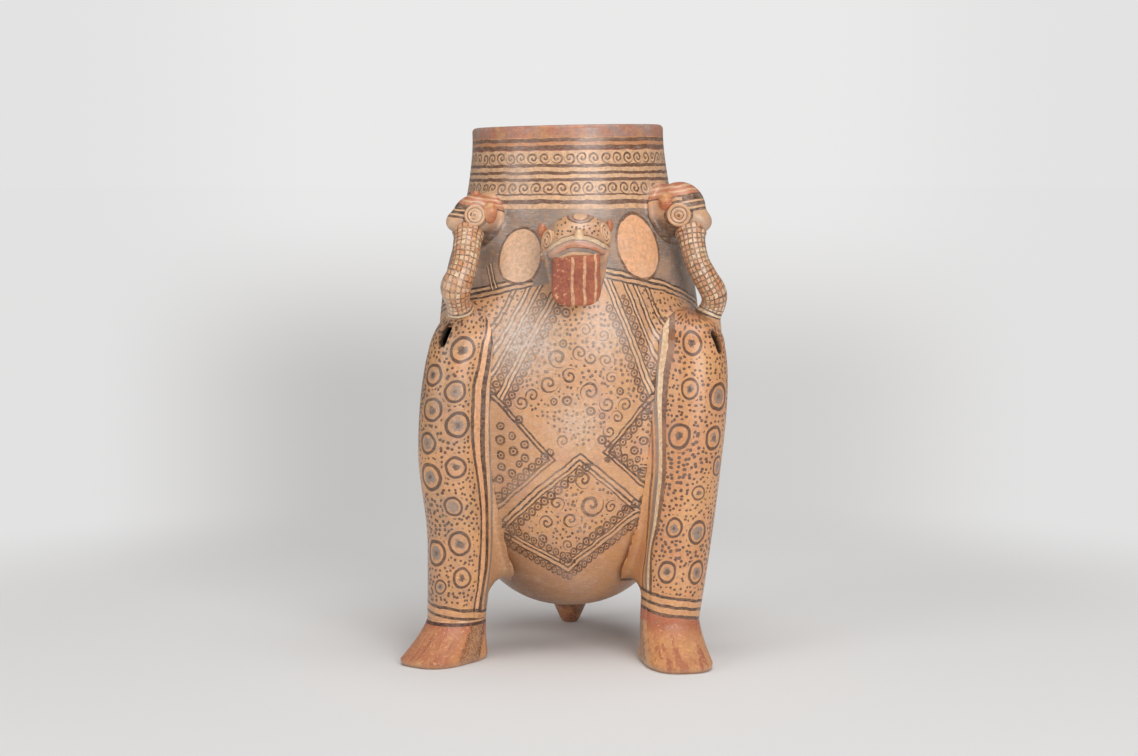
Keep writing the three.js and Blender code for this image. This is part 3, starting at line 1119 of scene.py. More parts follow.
@dataclass(frozen=True)
class PlainSlip:
    """Burnished slip in one colour family, mottled by the fire and by handling.

    It gives the eye a soft sheen over cloudy changes of tone.

    Attributes:
        name: The material's name.
        base: The slip itself.
        patch: The colour of the patches in it.
        gloss: The roughness of its burnish.
    """

    name: str
    base: Slip
    patch: Slip
    gloss: float = 0.45

    def mixed(self) -> Finish:
        """Builds the material, which has less of the dull film than the painted ones."""
        return Painting(self.name, self.base, self.patch, self.gloss, 0.12).burnished()


def wall_marks(curls: Sequence[Curl]) -> list[tuple[float, float, float, float, float]]:
    """Places curls on the unrolled wall of the jar.

    Args:
        curls: The curls, in pixels of the view.

    Returns:
        Their places, radii and turns for the painting.
    """
    marks = []
    for curl in curls:
        u, z = SIGHT.on_wall(curl.column, curl.row)
        size = curl.radius / SIGHT.scale(curl.column, curl.row)
        wide = size * JAR.radius / float(JAR.radius_at(z)[0])
        marks.append((u, z, wide * curl.hand, size, curl.turn))
    return marks


@dataclass(frozen=True)
class JarPainting:
    """The painting of the collar and the body: ringed stripes, two ovals, a beaded bell and a beaded diamond.

    Earthenware under burnished slips. It gives the eye warm tan clay with matt brown line work, rubbed thin and
    clouded grey by the fire, under a soft gloss.

    Attributes:
        neck: The rows at which each stripe of the collar starts, from the shoulder up.
        neck_curls: The two rows of the view in the middle of the bands of curls.
        curls: The curls of the bell.
        lozenge_curls: The curls of the diamond.
        rings: The small rings of the bell, the side triangles and the diamond.
        pale_patches_and_sheen: Dull film and painted sheen: the column, the row, the reach in millimetres and the
            strength.
        flank: The stripes outside the bell, in millimetres from its edge.
    """

    neck: tuple[tuple[float, Slip | None], ...] = (
        (209.5, Slip.YELLOW), (204.6, Slip.BROWN), (200.4, Slip.YELLOW), (196, Slip.BROWN), (194.2, Slip.YELLOW),
        (182, Slip.BROWN), (178.8, Slip.YELLOW), (175, Slip.BROWN), (172, Slip.YELLOW), (168, Slip.BROWN),
        (164.8, Slip.YELLOW), (151, Slip.DEEP_RED), (150, Slip.BROWN), (146.2, Slip.ORANGE), (142.6, Slip.BROWN),
        (139, Slip.ORANGE), (134.5, Slip.RED), (124, None),
    )
    neck_curls: tuple[float, float] = (188.2, 157.8)
    curls: tuple[Curl, ...] = (
        Curl(558, 358, 9.5, 0.2), Curl(570, 376, 7.5, 0.7, -1), Curl(549, 384, 8.5, 0.1), Curl(590, 392, 9, 0.45),
        Curl(580, 353, 7, 0.3), Curl(591, 358, 7, 0.8, -1), Curl(607, 404, 7.5, 0.0, -1), Curl(625, 405, 7, 0.5),
        Curl(617, 417, 6, 0.65), Curl(609, 431, 6, 0.9, -1), Curl(606, 360, 6, 0.3), Curl(612, 378, 6, 0.6, -1),
        Curl(532, 396, 7, 0.4), Curl(521, 402, 7, 0.1, -1), Curl(563, 441, 6, 0.3), Curl(585, 330, 6, 0.6),
        Curl(603, 335, 6, 0.1, -1),
    )
    lozenge_curls: tuple[Curl, ...] = (
        Curl(591.7, 505, 11.5, 0.0), Curl(556.7, 504, 7, 0.4, -1), Curl(570.8, 520, 7.5, 0.15),
        Curl(546.7, 523, 7, 0.5), Curl(583.5, 480, 8.5, 0.25), Curl(611.7, 506.7, 6, 0.7, -1),
        Curl(568, 545, 5, 0.3),
    )
    rings: tuple[Curl, ...] = (
        Curl(563, 343.5, 4.6), Curl(567, 401, 5.4), Curl(591, 411.5, 5), Curl(602, 415.5, 3.4), Curl(620, 391, 4.5),
        Curl(602, 440, 5), Curl(554, 402, 4), Curl(543, 539, 5), Curl(600, 531, 5.5), Curl(625, 508, 4),
        Curl(566, 313, 5), Curl(519, 420, 4.8), Curl(501, 440, 5.2), Curl(513, 451, 5.4), Curl(501, 455, 4.6),
        Curl(525, 445, 5), Curl(525, 458, 5), Curl(502, 467, 5), Curl(512, 473, 5), Curl(500, 479, 4.6),
        Curl(519, 464, 4), Curl(501, 426, 4.6), Curl(512, 436, 4.4), Curl(634, 451, 4.6), Curl(642, 441, 4.6),
        Curl(649, 452, 4.4),
        Curl(651, 433, 4), Curl(641, 470, 4.2), Curl(646, 484, 4.2), Curl(637, 459, 3.4), Curl(649, 420, 3.6),
    )
    # Pale patches where the chest and the left flank shine: partly a dull film, partly painted sheen.
    pale_patches_and_sheen: tuple[tuple[float, float, float, float], ...] = (
        (526, 340, 34.0, 0.85), (606, 335, 24.0, 0.5), (576, 425, 24.0, 0.4), (569, 250, 30.0, 0.5),
    )
    flank: tuple[tuple[float, Slip | None], ...] = (
        (2.9, Slip.DARK), (4.1, Slip.PEACH), (5.6, Slip.DARK), (6.6, Slip.YELLOW), (8.2, Slip.DARK), (9.3, None),
        (15.0, Slip.DARK), (16.2, Slip.PEACH), (17.4, Slip.DARK), (18.5, None), (21, Slip.DARK), (22.2, Slip.PEACH),
        (23.6, Slip.DARK), (24.8, None), (29.0, Slip.DARK), (30.2, Slip.TAN), (31.6, Slip.DARK), (32.8, None),
        (34, None),
    )

    def mixed(self) -> Finish:
        """Builds the material.

        Returns:
            The material of the body and the collar.
        """
        art = Painting("burnished_painted_earthenware", Slip.TAN, Slip.AMBER)
        flat = self.unrolled(art)
        u, z, _ = art.add("SeparateXYZ", flat, out=None)
        roof = self.roof(art, flat, u)
        below = art.joined("MINIMUM", *(edge.out for edge in roof))
        self.paint_sides(art, flat, u, z)
        self.paint_chest(art, flat, z, below)
        self.paint_shoulder(art, flat, u, roof, below)
        self.paint_neck(art, u, z)
        # Painted sheen with a dull film: pale patches on the chest and the left flank.
        for column, row, reach, amount in self.pale_patches_and_sheen:
            away = art.add("VectorMath.DISTANCE", flat, (*SIGHT.on_wall(column, row), 1.0), out=1)
            art.wash(away, reach, reach * 0.25, amount, Slip.HAZE, 0.6)
        art.wash(art.add("Attribute", attribute_name="jar_depth", out=2), 0.2, 0.5, 1.0, Slip.CLAY_RED, 0.2)
        return art.burnished()

    def unrolled(self, art: Painting) -> Socket:
        """Unrolls the wall: how far round it a place lies at the widest radius, and its upright height.

        Both halves carry the same painting, so the back is unrolled from its own middle.

        Args:
            art: The painting.

        Returns:
            The place, with 1 as its third number.
        """
        x, y, z = art.add("SeparateXYZ", art.add("VectorMath.ADD", art.here, art.shaken), out=None)
        rise = art.add("Math.MAXIMUM", art.add("Math.SUBTRACT", z, JAR.shoulder), 0.0)
        x = art.add("Math.MULTIPLY_ADD", rise, JAR.lean, x)
        tilted = art.joined("MULTIPLY", x, rise)
        z = art.add("Math.MULTIPLY_ADD", tilted, -JAR.tilt / (JAR.height - JAR.shoulder), z)
        slope = art.add("Math.DIVIDE", x, art.add("Math.MULTIPLY", y, -1.0))
        turn = art.add("Math.ARCTANGENT", slope)
        return art.add("CombineXYZ", art.add("Math.MULTIPLY", turn, JAR.radius), z, 1.0)

    def paint_neck(self, art: Painting, u: Socket, z: Socket) -> None:
        """Rings the collar with stripes and two bands of curls.

        Args:
            art: The painting.
            u: The place round the wall.
            z: The upright height.
        """
        add = art.add
        art.stripes(z, [(SIGHT.on_wall(520, row)[1], slip) for row, slip in self.neck])
        low, high = (SIGHT.on_wall(569, row)[1] for row in self.neck_curls)
        pitch, size, stagger, left_handed = math.pi * JAR.radius / 25, 3.4, 0.37, 0.3
        upper = add("Math.GREATER_THAN", z, (low + high) / 2)
        cell = add("Math.MULTIPLY_ADD", u, 1 / pitch, add("Math.MULTIPLY", upper, stagger))
        count = add("Math.FLOOR", cell)
        chance = add("TexWhiteNoise", add("CombineXYZ", count, upper), noise_dimensions="2D")
        aside = add("Math.SUBTRACT", add("Math.FRACT", cell), 0.5)
        hand = add("Math.MULTIPLY_ADD", add("Math.GREATER_THAN", chance, left_handed), 2.0, -1.0)
        across = art.joined("MULTIPLY", aside, pitch * 0.74 / size, hand)
        middle = add("Math.MULTIPLY_ADD", upper, high - low, low)
        up = add("Math.DIVIDE", add("Math.SUBTRACT", z, middle), size)
        near = add("VectorMath.LENGTH", add("CombineXYZ", across, up), out=1)
        inside = add("CombineXYZ", across, up, add("Math.MULTIPLY", chance, 0.4 * TURN_SHARE))
        art.brush(art.wound(inside, near, line=0.25), art.ink, 0.45)

    def paint_sides(self, art: Painting, flat: Socket, u: Socket, z: Socket) -> None:
        """Paints shade on the lower belly and its left side, and draws the upright stripes beside the right leg.

        Args:
            art: The painting.
            flat: The place on the unrolled wall.
            u: The place round the wall.
            z: The upright height.
        """
        # Painted shade in brown: deeper towards the bottom of the belly and at its left front, and over its left side
        # low down.
        front = art.add("MapRange", u, -125.0, -85.0)
        belly_painted_shade = art.add("Math.MULTIPLY_ADD", art.add("MapRange", u, -20.0, 25.0, 0.24, 0.0), front, 0.2)
        art.brush(art.joined("MULTIPLY", art.add("MapRange", z, 90.0, 40.0), belly_painted_shade), Slip.BROWN, 0.2)
        side = art.add("MapRange", u, -20.0, -50.0, 0.0, 0.36)
        art.brush(art.joined("MULTIPLY", side, front, art.add("MapRange", z, 180.0, 150.0)), Slip.BROWN, 0.3)
        edge = art.edge(flat, SIGHT.on_wall(657, 512), SIGHT.on_wall(634, 572))
        plan = ((-1.8, Slip.BROWN), (0.4, Slip.TAN), (2.0, Slip.BROWN), (3.6, None), (4.0, None))
        art.stripes(edge.out, plan, art.beside(edge))

    def roof(self, art: Painting, flat: Socket, u: Socket) -> list[Edge]:
        """Measures the two lines on the shoulder, bent so that the front's and the back's meet at the jar's sides.

        Args:
            art: The painting.
            flat: The place on the unrolled wall.
            u: The place round the wall.

        Returns:
            The right and the left line. Places below them lie outside.
        """
        right = SIGHT.on_wall(664, 292), SIGHT.on_wall(606, 279)
        left = SIGHT.on_wall(530, 288), SIGHT.on_wall(476, 300)
        quarter = math.pi * JAR.radius / 2
        ends = [
            z + (side * quarter - place) * (z - other_z) / (place - other)
            for side, (place, z), (other, other_z) in ((1, *right), (-1, *left[::-1]))
        ]
        lift = art.add("MapRange", u, right[0][0], quarter, 0.0, ends[0] - ends[1])
        level = art.add("VectorMath.ADD", flat, art.add("CombineXYZ", 0.0, lift))
        return [art.edge(level, *line) for line in (right, left)]

    def paint_shoulder(self, art: Painting, flat: Socket, u: Socket, roof: Sequence[Edge], below: Socket) -> None:
        """Washes the shoulder grey round two plain ovals, with cream lines below them.

        Args:
            art: The painting.
            flat: The place on the unrolled wall.
            u: The place round the wall.
            roof: The lines on the shoulder.
            below: How far the place lies below both.
        """
        art.brush(art.add("Math.LESS_THAN", below, 0.0), Slip.GREY, 0.45)
        plan = ((0, Slip.DARK), (1.2, Slip.TAN), (3, Slip.DARK), (4.6, Slip.YELLOW), (6.2, Slip.DARK), (7.6, None))
        behind_the_head = 24.0
        for edge, side in zip(roof, (1.0, -1.0)):
            gate = art.add("Math.GREATER_THAN", art.add("Math.MULTIPLY", u, side), behind_the_head)
            art.stripes(art.add("Math.MULTIPLY", edge.out, -1.0), plan, gate)
        edge = art.edge(flat, SIGHT.on_wall(489, 265), SIGHT.on_wall(495, 289))
        plan = (
            (-2.8, Slip.DARK), (-1.7, Slip.CREAM), (-0.9, Slip.DARK), (0.9, Slip.CREAM), (1.7, Slip.DARK), (2.8, None),
        )
        art.stripes(edge.out, plan, art.beside(edge))
        for column, row, wide, tall, slip in ((519.5, 256, 20.5, 26.5, Slip.PEACH), (639, 246.5, 22, 31, Slip.APRICOT)):
            ((place, height, broad, high, _),) = wall_marks((Curl(column, row, wide),))
            near = art.oval(flat, (place, height), (broad * 1.1, high * tall / wide))
            art.brush(art.add("Math.LESS_THAN", near, 1.11), Slip.BROWN, 0.5)
            art.brush(art.add("Math.LESS_THAN", near, 1.0), slip, 0.1)

    def paint_chest(self, art: Painting, flat: Socket, height: Socket, below: Socket) -> None:
        """Paints the bell, the triangles at its sides and the diamond under it.

        Args:
            art: The painting.
            flat: The place on the unrolled wall.
            height: The upright height.
            below: How far the place lies below the shoulder's lines.
        """
        add = art.add
        left, right, *others = (
            art.edge(flat, SIGHT.on_wall(*start), SIGHT.on_wall(*end))
            for start, end in (
                ((506, 408), (560, 306)), ((608, 306), (646, 408)), ((506, 405), (556.7, 461)),
                ((556.7, 461), (495, 517)), ((601.7, 452.5), (640, 406)), ((650, 499), (601.7, 452.5)),
                ((580, 452.5), (645.8, 509)), ((645.8, 509), (568.3, 573.3)), ((568.3, 573.3), (494, 531)),
                ((494, 531), (580, 452.5)),
            )
        )
        wing, lozenge = others[:4], others[4:]
        wing_left, wing_right = (art.joined("MAXIMUM", wing[i].out, wing[i + 1].out) for i in (0, 2))
        wings = art.joined("MINIMUM", wing_left, wing_right)
        inner = add("Math.MULTIPLY", art.joined("MAXIMUM", *(edge.out for edge in lozenge)), -1.0)
        bell = art.joined("MAXIMUM", left.out, right.out)
        above = art.joined(
            "MULTIPLY", add("Math.GREATER_THAN", wings, 0.0), add("Math.GREATER_THAN", below, 0.0),
            add("Math.GREATER_THAN", height, SIGHT.on_wall(569, 456)[1]),
        )
        art.stripes(bell, self.flank, above)
        plan = ((0, Slip.DARK), (1.2, None), (2.4, Slip.DARK), (3.8, None), (4.0, None))
        art.stripes(add("Math.MULTIPLY", wings, -1.0), plan)
        plan = (
            (0, Slip.DARK), (1.3, Slip.TAN), (3.3, Slip.DARK), (4.6, Slip.TAN), (6.0, Slip.DARK), (7.0, None),
            (7.2, None),
        )
        art.stripes(inner, plan)
        string = art.joined("MINIMUM", *(art.beads(*beads) for beads in (
            (left, 0.2, 5.4, 2.8), (right, 0.2, 5.4, 2.8), (left, 12.0, 5.2, 2.6), (right, 12.0, 5.2, 2.6),
            (wing[1], -6.4, 5.3, 2.8), (wing[2], -6.4, 5.2, 2.8), (wing[3], -6.4, 5.3, 2.8),
            (lozenge[1], 2.6, 5.06, 2.8), (lozenge[2], 2.6, 5.06, 2.8), (lozenge[1], -10.0, 5.8, 3.0),
            (lozenge[3], -10.0, 5.8, 3.0), (lozenge[2], -9.8, 6.0, 2.8),
        )))
        _, ring = art.nearest(flat, wall_marks(self.rings))
        inside, curl = art.nearest(flat, wall_marks((*self.curls, *self.lozenge_curls)))
        field = art.joined(
            "MULTIPLY", add("Math.LESS_THAN", bell, -2.8), above, add("Math.GREATER_THAN", wings, 1.5),
            *(add("Math.GREATER_THAN", lozenge[i].out, 2.0) for i in (0, 3)),
        )
        corner = art.joined(
            "MULTIPLY", add("Math.GREATER_THAN", bell, 25.5), above, add("Math.GREATER_THAN", below, 1.0)
        )
        dotted = art.joined(
            "MAXIMUM", field, corner, add("Math.GREATER_THAN", inner, 7.5), add("Math.LESS_THAN", wing_right, -3.0)
        )
        clear = add("Math.GREATER_THAN", art.joined("MINIMUM", string, ring, curl), 1.35)
        art.brush(art.joined(
            "MAXIMUM", art.ringed(string, 0.3), art.ringed(ring, 0.28), art.wound(inside, curl),
            art.joined("MULTIPLY", art.dabs(flat, 3.5, 0.95), clear, dotted),
        ), art.ink, 0.4)


@dataclass(frozen=True)
class LegPainting:
    """The painting of a leg: ringed spots among dabs, with stripes down its inner side and round its ankle.

    Earthenware under burnished slips. It gives the eye the body's tan gloss, busier and a little redder.

    Attributes:
        leg: The leg that is painted.
        spots: The ringed spots, in pixels of the view.
        ankle: The start and the end of the lowest ankle line.
    """

    leg: "Leg"
    spots: tuple[Curl, ...]
    ankle: tuple[tuple[float, float], tuple[float, float]]

    def flat(self, column: float, row: float) -> tuple[float, float]:
        """Gives the place on the unrolled leg that a pixel shows.

        Args:
            column: The pixel's column.
            row: The pixel's row.

        Returns:
            How far round it lies, and its height.
        """
        x, y, z = SIGHT.touch(column, row, self.leg.form)
        centre = self.leg.form.sections.at(z)[0]
        return math.atan2(x - centre[0], centre[1] - y) * self.leg.girth, z

    def mixed(self) -> Finish:
        """Builds the material.

        Returns:
            The leg's material.
        """
        left = self.leg.side is Side.LEFT
        name = f"burnished_spotted_slip_{self.leg.side.value}"
        art = Painting(name, Slip.AMBER, Slip.BARE if left else Slip.ORANGE, haze=0.08)
        add = art.add
        place = add("Attribute", attribute_name="leg_place", out=1)
        x, y, z = add("SeparateXYZ", add("VectorMath.ADD", place, art.shaken), out=None)
        turn = add("Math.ARCTAN2", x, add("Math.MULTIPLY", y, -1.0))
        flat = add("CombineXYZ", add("Math.MULTIPLY", turn, self.leg.girth), z, 1.0)
        marks = []
        narrow = 0.95 if left else 0.8
        for index, spot in enumerate(self.spots):
            size = spot.radius / SIGHT.scale(spot.column, spot.row)
            marks.append((*self.flat(spot.column, spot.row), size * narrow, size, index * 0.37 % 1))
        inside, near = art.nearest(flat, marks)
        inner = add("Attribute", attribute_name="leg_edge", out=2)
        inner = art.joined("ADD", inner, add("Math.MULTIPLY_ADD", art.rub, 0.3, -0.15))
        ankle = art.edge(flat, self.flat(*self.ankle[0]), self.flat(*self.ankle[1]))
        dabs = art.joined(
            "MULTIPLY", art.dabs(flat, 3.2, 0.9), add("Math.GREATER_THAN", near, 1.25),
            add("Math.LESS_THAN", inner, -0.3), add("Math.GREATER_THAN", ankle.out, 13.0),
        )
        art.brush(art.joined("MAXIMUM", add("Math.COMPARE", near, 0.9, 0.13), dabs), art.ink, 0.15)
        blot = art.joined("ADD", add("Math.MULTIPLY_ADD", art.rub, 1.1, -0.55), near)
        kind = add("SeparateXYZ", inside, out=2)
        for low, high, paint, worn in ((0.3, 0.62, Slip.GREY, 0.5), (0.36, 0.1, art.ink, 0.6)):
            art.brush(add("Math.LESS_THAN", blot, add("MapRange", kind, 0.0, TURN_SHARE, low, high)), paint, worn)
        art.stripes(inner, (
            (-0.2, Slip.DARK), (0.16, Slip.APRICOT), (0.72, Slip.DARK), (1.25, Slip.TAN), (1.7, Slip.GREY),
            (2.1, Slip.TAN), (9.0, None),
        ) if left else (
            # On the right leg the cream band is partly a painted line and partly a painted highlight along the groove
            # by the body.
            (-0.34, Slip.BROWN), (0.26, Slip.CREAM), (0.8, Slip.GREY), (1.3, None), (1.6, Slip.BROWN), (1.9, None),
            (2, None),
        ))
        art.stripes(ankle.out, (
            (-1.1, Slip.DARK), (1.0, Slip.AMBER), (4.3, Slip.DARK), (6.2, Slip.AMBER), (9.7, Slip.DARK), (11.6, None),
            (12, None),
        ))
        # Painted shade in brown on the web, deeper towards the bottom where the leg meets the belly.
        web = add("MapRange", z, 90.0, 40.0, 0.0, 0.35)
        art.brush(art.joined("MULTIPLY", web, add("Math.GREATER_THAN", inner, 2.2)), Slip.BROWN, 0.2)
        art.brush(add("Math.LESS_THAN", ankle.out, -0.9), Slip.RED, 0.3)
        # Painted shade: the hollow inside the leg, seen through the vent, is painted near black.
        art.wash(add("Attribute", attribute_name="leg_depth", out=2), 0.1, 0.6, 1.0, Slip.SOOT, 0.0)
        return art.burnished()


@dataclass(frozen=True)
class FootPainting:
    """A foot in red slip, drawn out along the toes in streaks that show where it has rubbed off.

    It gives the eye a low sheen on uneven brick red.

    Attributes:
        side: The foot's side.
    """

    side: "Side"

    def mixed(self) -> Finish:
        """Builds the material.

        Returns:
            The foot's material.
        """
        left = self.side is Side.LEFT
        art = Painting(f"streaked_red_slip_{self.side.value}", Slip.AMBER, Slip.ORANGE, haze=0.05)
        place = art.add("Attribute", attribute_name="foot_place", out=1)
        drawn = art.add("VectorMath.MULTIPLY", place, (1.6, 3.4, 0.05) if left else (0.9, 3.6, 0.05))
        drawn = art.add("VectorMath.ADD", drawn, art.add("VectorMath.SCALE", art.shaken, (3, 0.3)))
        streak = art.add("TexNoise", drawn, None, 1.5, 4.0, 0.6)
        x, y, height = art.add("SeparateXYZ", place, out=None)
        share, start = (0.42, 0.94) if left else (0.5, 0.74)
        art.wash(streak, share, share + 0.08, 0.85, Slip.RED, 0.6)
        art.wash(streak, 0.56, 0.61, 0.7, Slip.DEEP_RED, 0.7)
        art.wash(height, 15.0, 20.0, 0.8, Slip.RED, 0.5)
        art.wash(height, 19.0, 23.0, 0.6, Slip.DEEP_RED, 0.5)
        art.wash(art.rub, 0.56, 0.62, 0.55, Slip.YELLOW, 0.2)
        inner = art.add("Math.MULTIPLY", y, 1.0 if left else -1.0)
        inner = art.joined("ADD", inner, art.add("Math.MULTIPLY_ADD", art.rub, 0.2, -0.1))
        plan = ((start, Slip.BROWN), (start + 0.03, Slip.TAN), (0.98, Slip.DARK), (0.99, Slip.BARE), (1.1, None))
        art.stripes(inner, plan, art.add("Math.LESS_THAN", x, 0.45))
        if left:
            art.stripes(height, ((20.9, Slip.DARK), (22.9, Slip.TAN), (24.0, None), (24.2, None)))
        art.wash(height, 3.6, 1.0, 0.8, Slip.BARE, 0.3)
        return art.burnished()


@dataclass(frozen=True)
class ArmPainting:
    """An arm under a net of dark lines over cream squares.

    It gives the eye the highest gloss of the jar, because hands have held it there.

    Attributes:
        name: Which arm it is.
        ground: The slip of the squares.
        worn: How much of the net is lost in the thinnest places.
        length: The arm's length.
    """

    name: str
    ground: Slip
    worn: float
    length: float

    def mixed(self) -> Finish:
        """Builds the material.

        Returns:
            The arm's material.
        """
        art = Painting(f"netted_slip_{self.name}", self.ground, Slip.PEACH, 0.33)
        add = art.add
        x, y, along = add("SeparateXYZ", add("Attribute", attribute_name="arm_place", out=1), out=None)
        turn = add("Math.ARCTAN2", x, add("Math.MULTIPLY", y, -1.0))
        shift, lift, _ = add("SeparateXYZ", art.shaken, out=None)
        across = add("Math.MULTIPLY_ADD", turn, 8.2, add("Math.MULTIPLY", shift, 0.5))
        along = art.joined("ADD", along, lift)
        reach = add("MapRange", art.rub, 0.35, 0.62, 0.95, 0.15)
        lines = (add("Math.LESS_THAN", add("Math.PINGPONG", place, 1.5), reach) for place in (across, along))
        square = add("CombineXYZ", *(add("Math.SNAP", place, 3.0) for place in (across, along)))
        chance = add("TexWhiteNoise", square, noise_dimensions="2D")
        art.brush(add("Math.GREATER_THAN", chance, 0.6), Slip.ORANGE, 0.7)
        art.brush(add("Math.LESS_THAN", chance, 0.25), Slip.CREAM, 0.5)
        art.brush(art.joined("MAXIMUM", *lines), art.ink, self.worn)
        plan = ((13, Slip.DARK), (11.6, Slip.CREAM), (9.4, Slip.DARK), (8, Slip.TAN), (0, None))
        art.stripes(along, [(self.length - back, slip) for back, slip in plan])
        return art.burnished()


@dataclass(frozen=True)
class EyePainting:
    """A modelled eye with a dark pupil and dark lines in its grooves, glossy enough to look wet."""

    def mixed(self) -> Finish:
        """Builds the material.

        Returns:
            The eyes' material.
        """
        art = Painting("painted_eye_slip", Slip.PEACH, Slip.CREAM, 0.34)
        share = art.add("Attribute", attribute_name="eye_share", out=2)
        art.stripes(share, (
            (0.0, Slip.BROWN), (0.14, Slip.TAN), (0.34, Slip.BROWN), (0.4, Slip.PEACH), (0.64, Slip.BROWN),
            (0.72, Slip.TAN), (1.0, Slip.BROWN), (1.2, None),
        ))
        return art.burnished()


@dataclass(frozen=True)
class SmallHeadPainting:
    """A shoulder head: a red striped crown, dark lines towards the snout and cream below, with painted shade
    underneath.

    Earthenware under burnished slips. It gives the eye small bright stripes under a soft gloss.

    Attributes:
        head: The head that is painted.
    """

    head: "ShoulderHead"

    def mixed(self) -> Finish:
        """Builds the material.

        Returns:
            The head's material.
        """
        name, hand = self.head.side.value, -1.0 if self.head.side is Side.LEFT else 1.0
        art = Painting(f"striped_head_slip_{name}", Slip.TAN, Slip.PEACH, 0.36)
        shift = tuple(-value for value in self.head.centre)
        local = art.add("VectorMath.ADD", art.add("VectorMath.ADD", art.here, art.shaken), shift)
        x, _, z = art.add("SeparateXYZ", local, out=None)
        outward = art.add("Math.MULTIPLY", x, hand)
        level = art.add("Math.MULTIPLY", art.add("Math.MULTIPLY_ADD", outward, -0.16, z), 17.0 / self.head.half[2])
        # Painted shade: grey over the lower part of the head, and dark brown on its underside towards the jar.
        art.wash(z, 3.0, -6.0, 0.5, Slip.GREY, 0.7)
        under = art.add("MapRange", z, -3.0, -9.0), art.add("MapRange", outward, 2.0, -3.0, 0.0, 0.9)
        art.brush(art.joined("MULTIPLY", *under), Slip.DARK, 0.3)
        eye_x, _, eye_z = self.head.eyes[0]
        around = art.add("VectorMath.DISTANCE", art.add("CombineXYZ", x, z), (eye_x, eye_z, 0.0), out=1)
        art.brush(art.add("Math.COMPARE", around, self.head.eye_radius + 0.6, 0.8), art.ink, 0.5)
        art.stripes(level, (
            (7.6, Slip.DARK), (8.6, Slip.CLAY_RED), (10.8, None), (12.0, Slip.RED), (14.0, None), (15.4, Slip.RED),
            (17, None),
        ))
        cheek = (
            (-2.4, Slip.DARK), (-0.6, Slip.YELLOW), (0.8, Slip.DARK), (3.4, Slip.YELLOW), (4.6, Slip.DARK), (7.6, None),
        )
        art.stripes(level, cheek, art.add("Math.GREATER_THAN", outward, 0.5))
        return art.burnished()


@dataclass(frozen=True)
class FacePainting:
    """The feline's face: a dotted brow under a ringed oval, and banded lips.

    Earthenware under burnished slips. It gives the eye pale tan skin with crisp dark marks.
    """

    def mixed(self) -> Finish:
        """Builds the material.

        Returns:
            The face's material.
        """
        art = Painting("painted_face_slip", Slip.TAN, Slip.PEACH, 0.36)
        x, _, z = art.add("SeparateXYZ", art.add("VectorMath.ADD", art.here, art.shaken), out=None)
        flat = art.add("CombineXYZ", x, z, 1.0)
        aside = art.add("Math.SUBTRACT", x, 5.4)
        bow = art.add("Math.MULTIPLY_ADD", art.joined("MULTIPLY", aside, aside), 0.022, z)
        far = art.add("Math.ABSOLUTE", aside)
        art.wash(far, 12.0, 15.0, 0.7, Slip.GREY, 0.7)
        art.stripes(bow, (
            (240.0, Slip.CLAY_RED), (251.4, Slip.PEACH), (253.0, Slip.GREY), (255.4, Slip.BROWN),
            (256.0, Slip.CLAY_RED), (257.6, Slip.ROSE), (259.6, Slip.GREY), (260.5, Slip.CREAM), (262.4, Slip.BROWN),
            (263.3, None), (264.0, None),
        ))
        oval = art.oval(flat, (6.6, 273.6), (8.2, 4.1))
        dabs = art.joined(
            "MULTIPLY", art.dabs(flat, 2.7, 0.64), art.add("Math.GREATER_THAN", bow, 264.0),
            art.add("Math.LESS_THAN", far, 13.0), art.add("Math.GREATER_THAN", oval, 1.35),
        )
        art.brush(dabs, Slip.DARK, 0.2)
        plan = ((0.0, Slip.PEACH), (0.5, Slip.BROWN), (0.66, Slip.MAUVE), (0.88, Slip.DARK), (1.04, None), (1.3, None))
        art.stripes(oval, plan)
        return art.burnished()


@dataclass(frozen=True)
class TonguePainting:
    """The tongue in red slip with cream lines down it, worn at the left. It gives the eye a matt brick red."""

    def mixed(self) -> Finish:
        """Builds the material.

        Returns:
            The tongue's material.
        """
        art = Painting("lined_red_slip", Slip.RED, Slip.DEEP_RED, 0.45, 0.0)
        x = art.add("SeparateXYZ", art.add("VectorMath.ADD", art.here, art.shaken))
        for middle, half in ((1.8, 0.9), (9.0, 0.8), (15.6, 0.7)):
            art.brush(art.add("Math.COMPARE", x, middle, half), Slip.YELLOW, 0.45)
        flake = art.add("MapRange", art.rub, 0.6, 0.63, 0.0, 0.8)
        art.brush(art.joined("MULTIPLY", flake, art.add("Math.LESS_THAN", x, 0.0)), Slip.YELLOW, 0.2)
        return art.burnished()


# The jar's wall


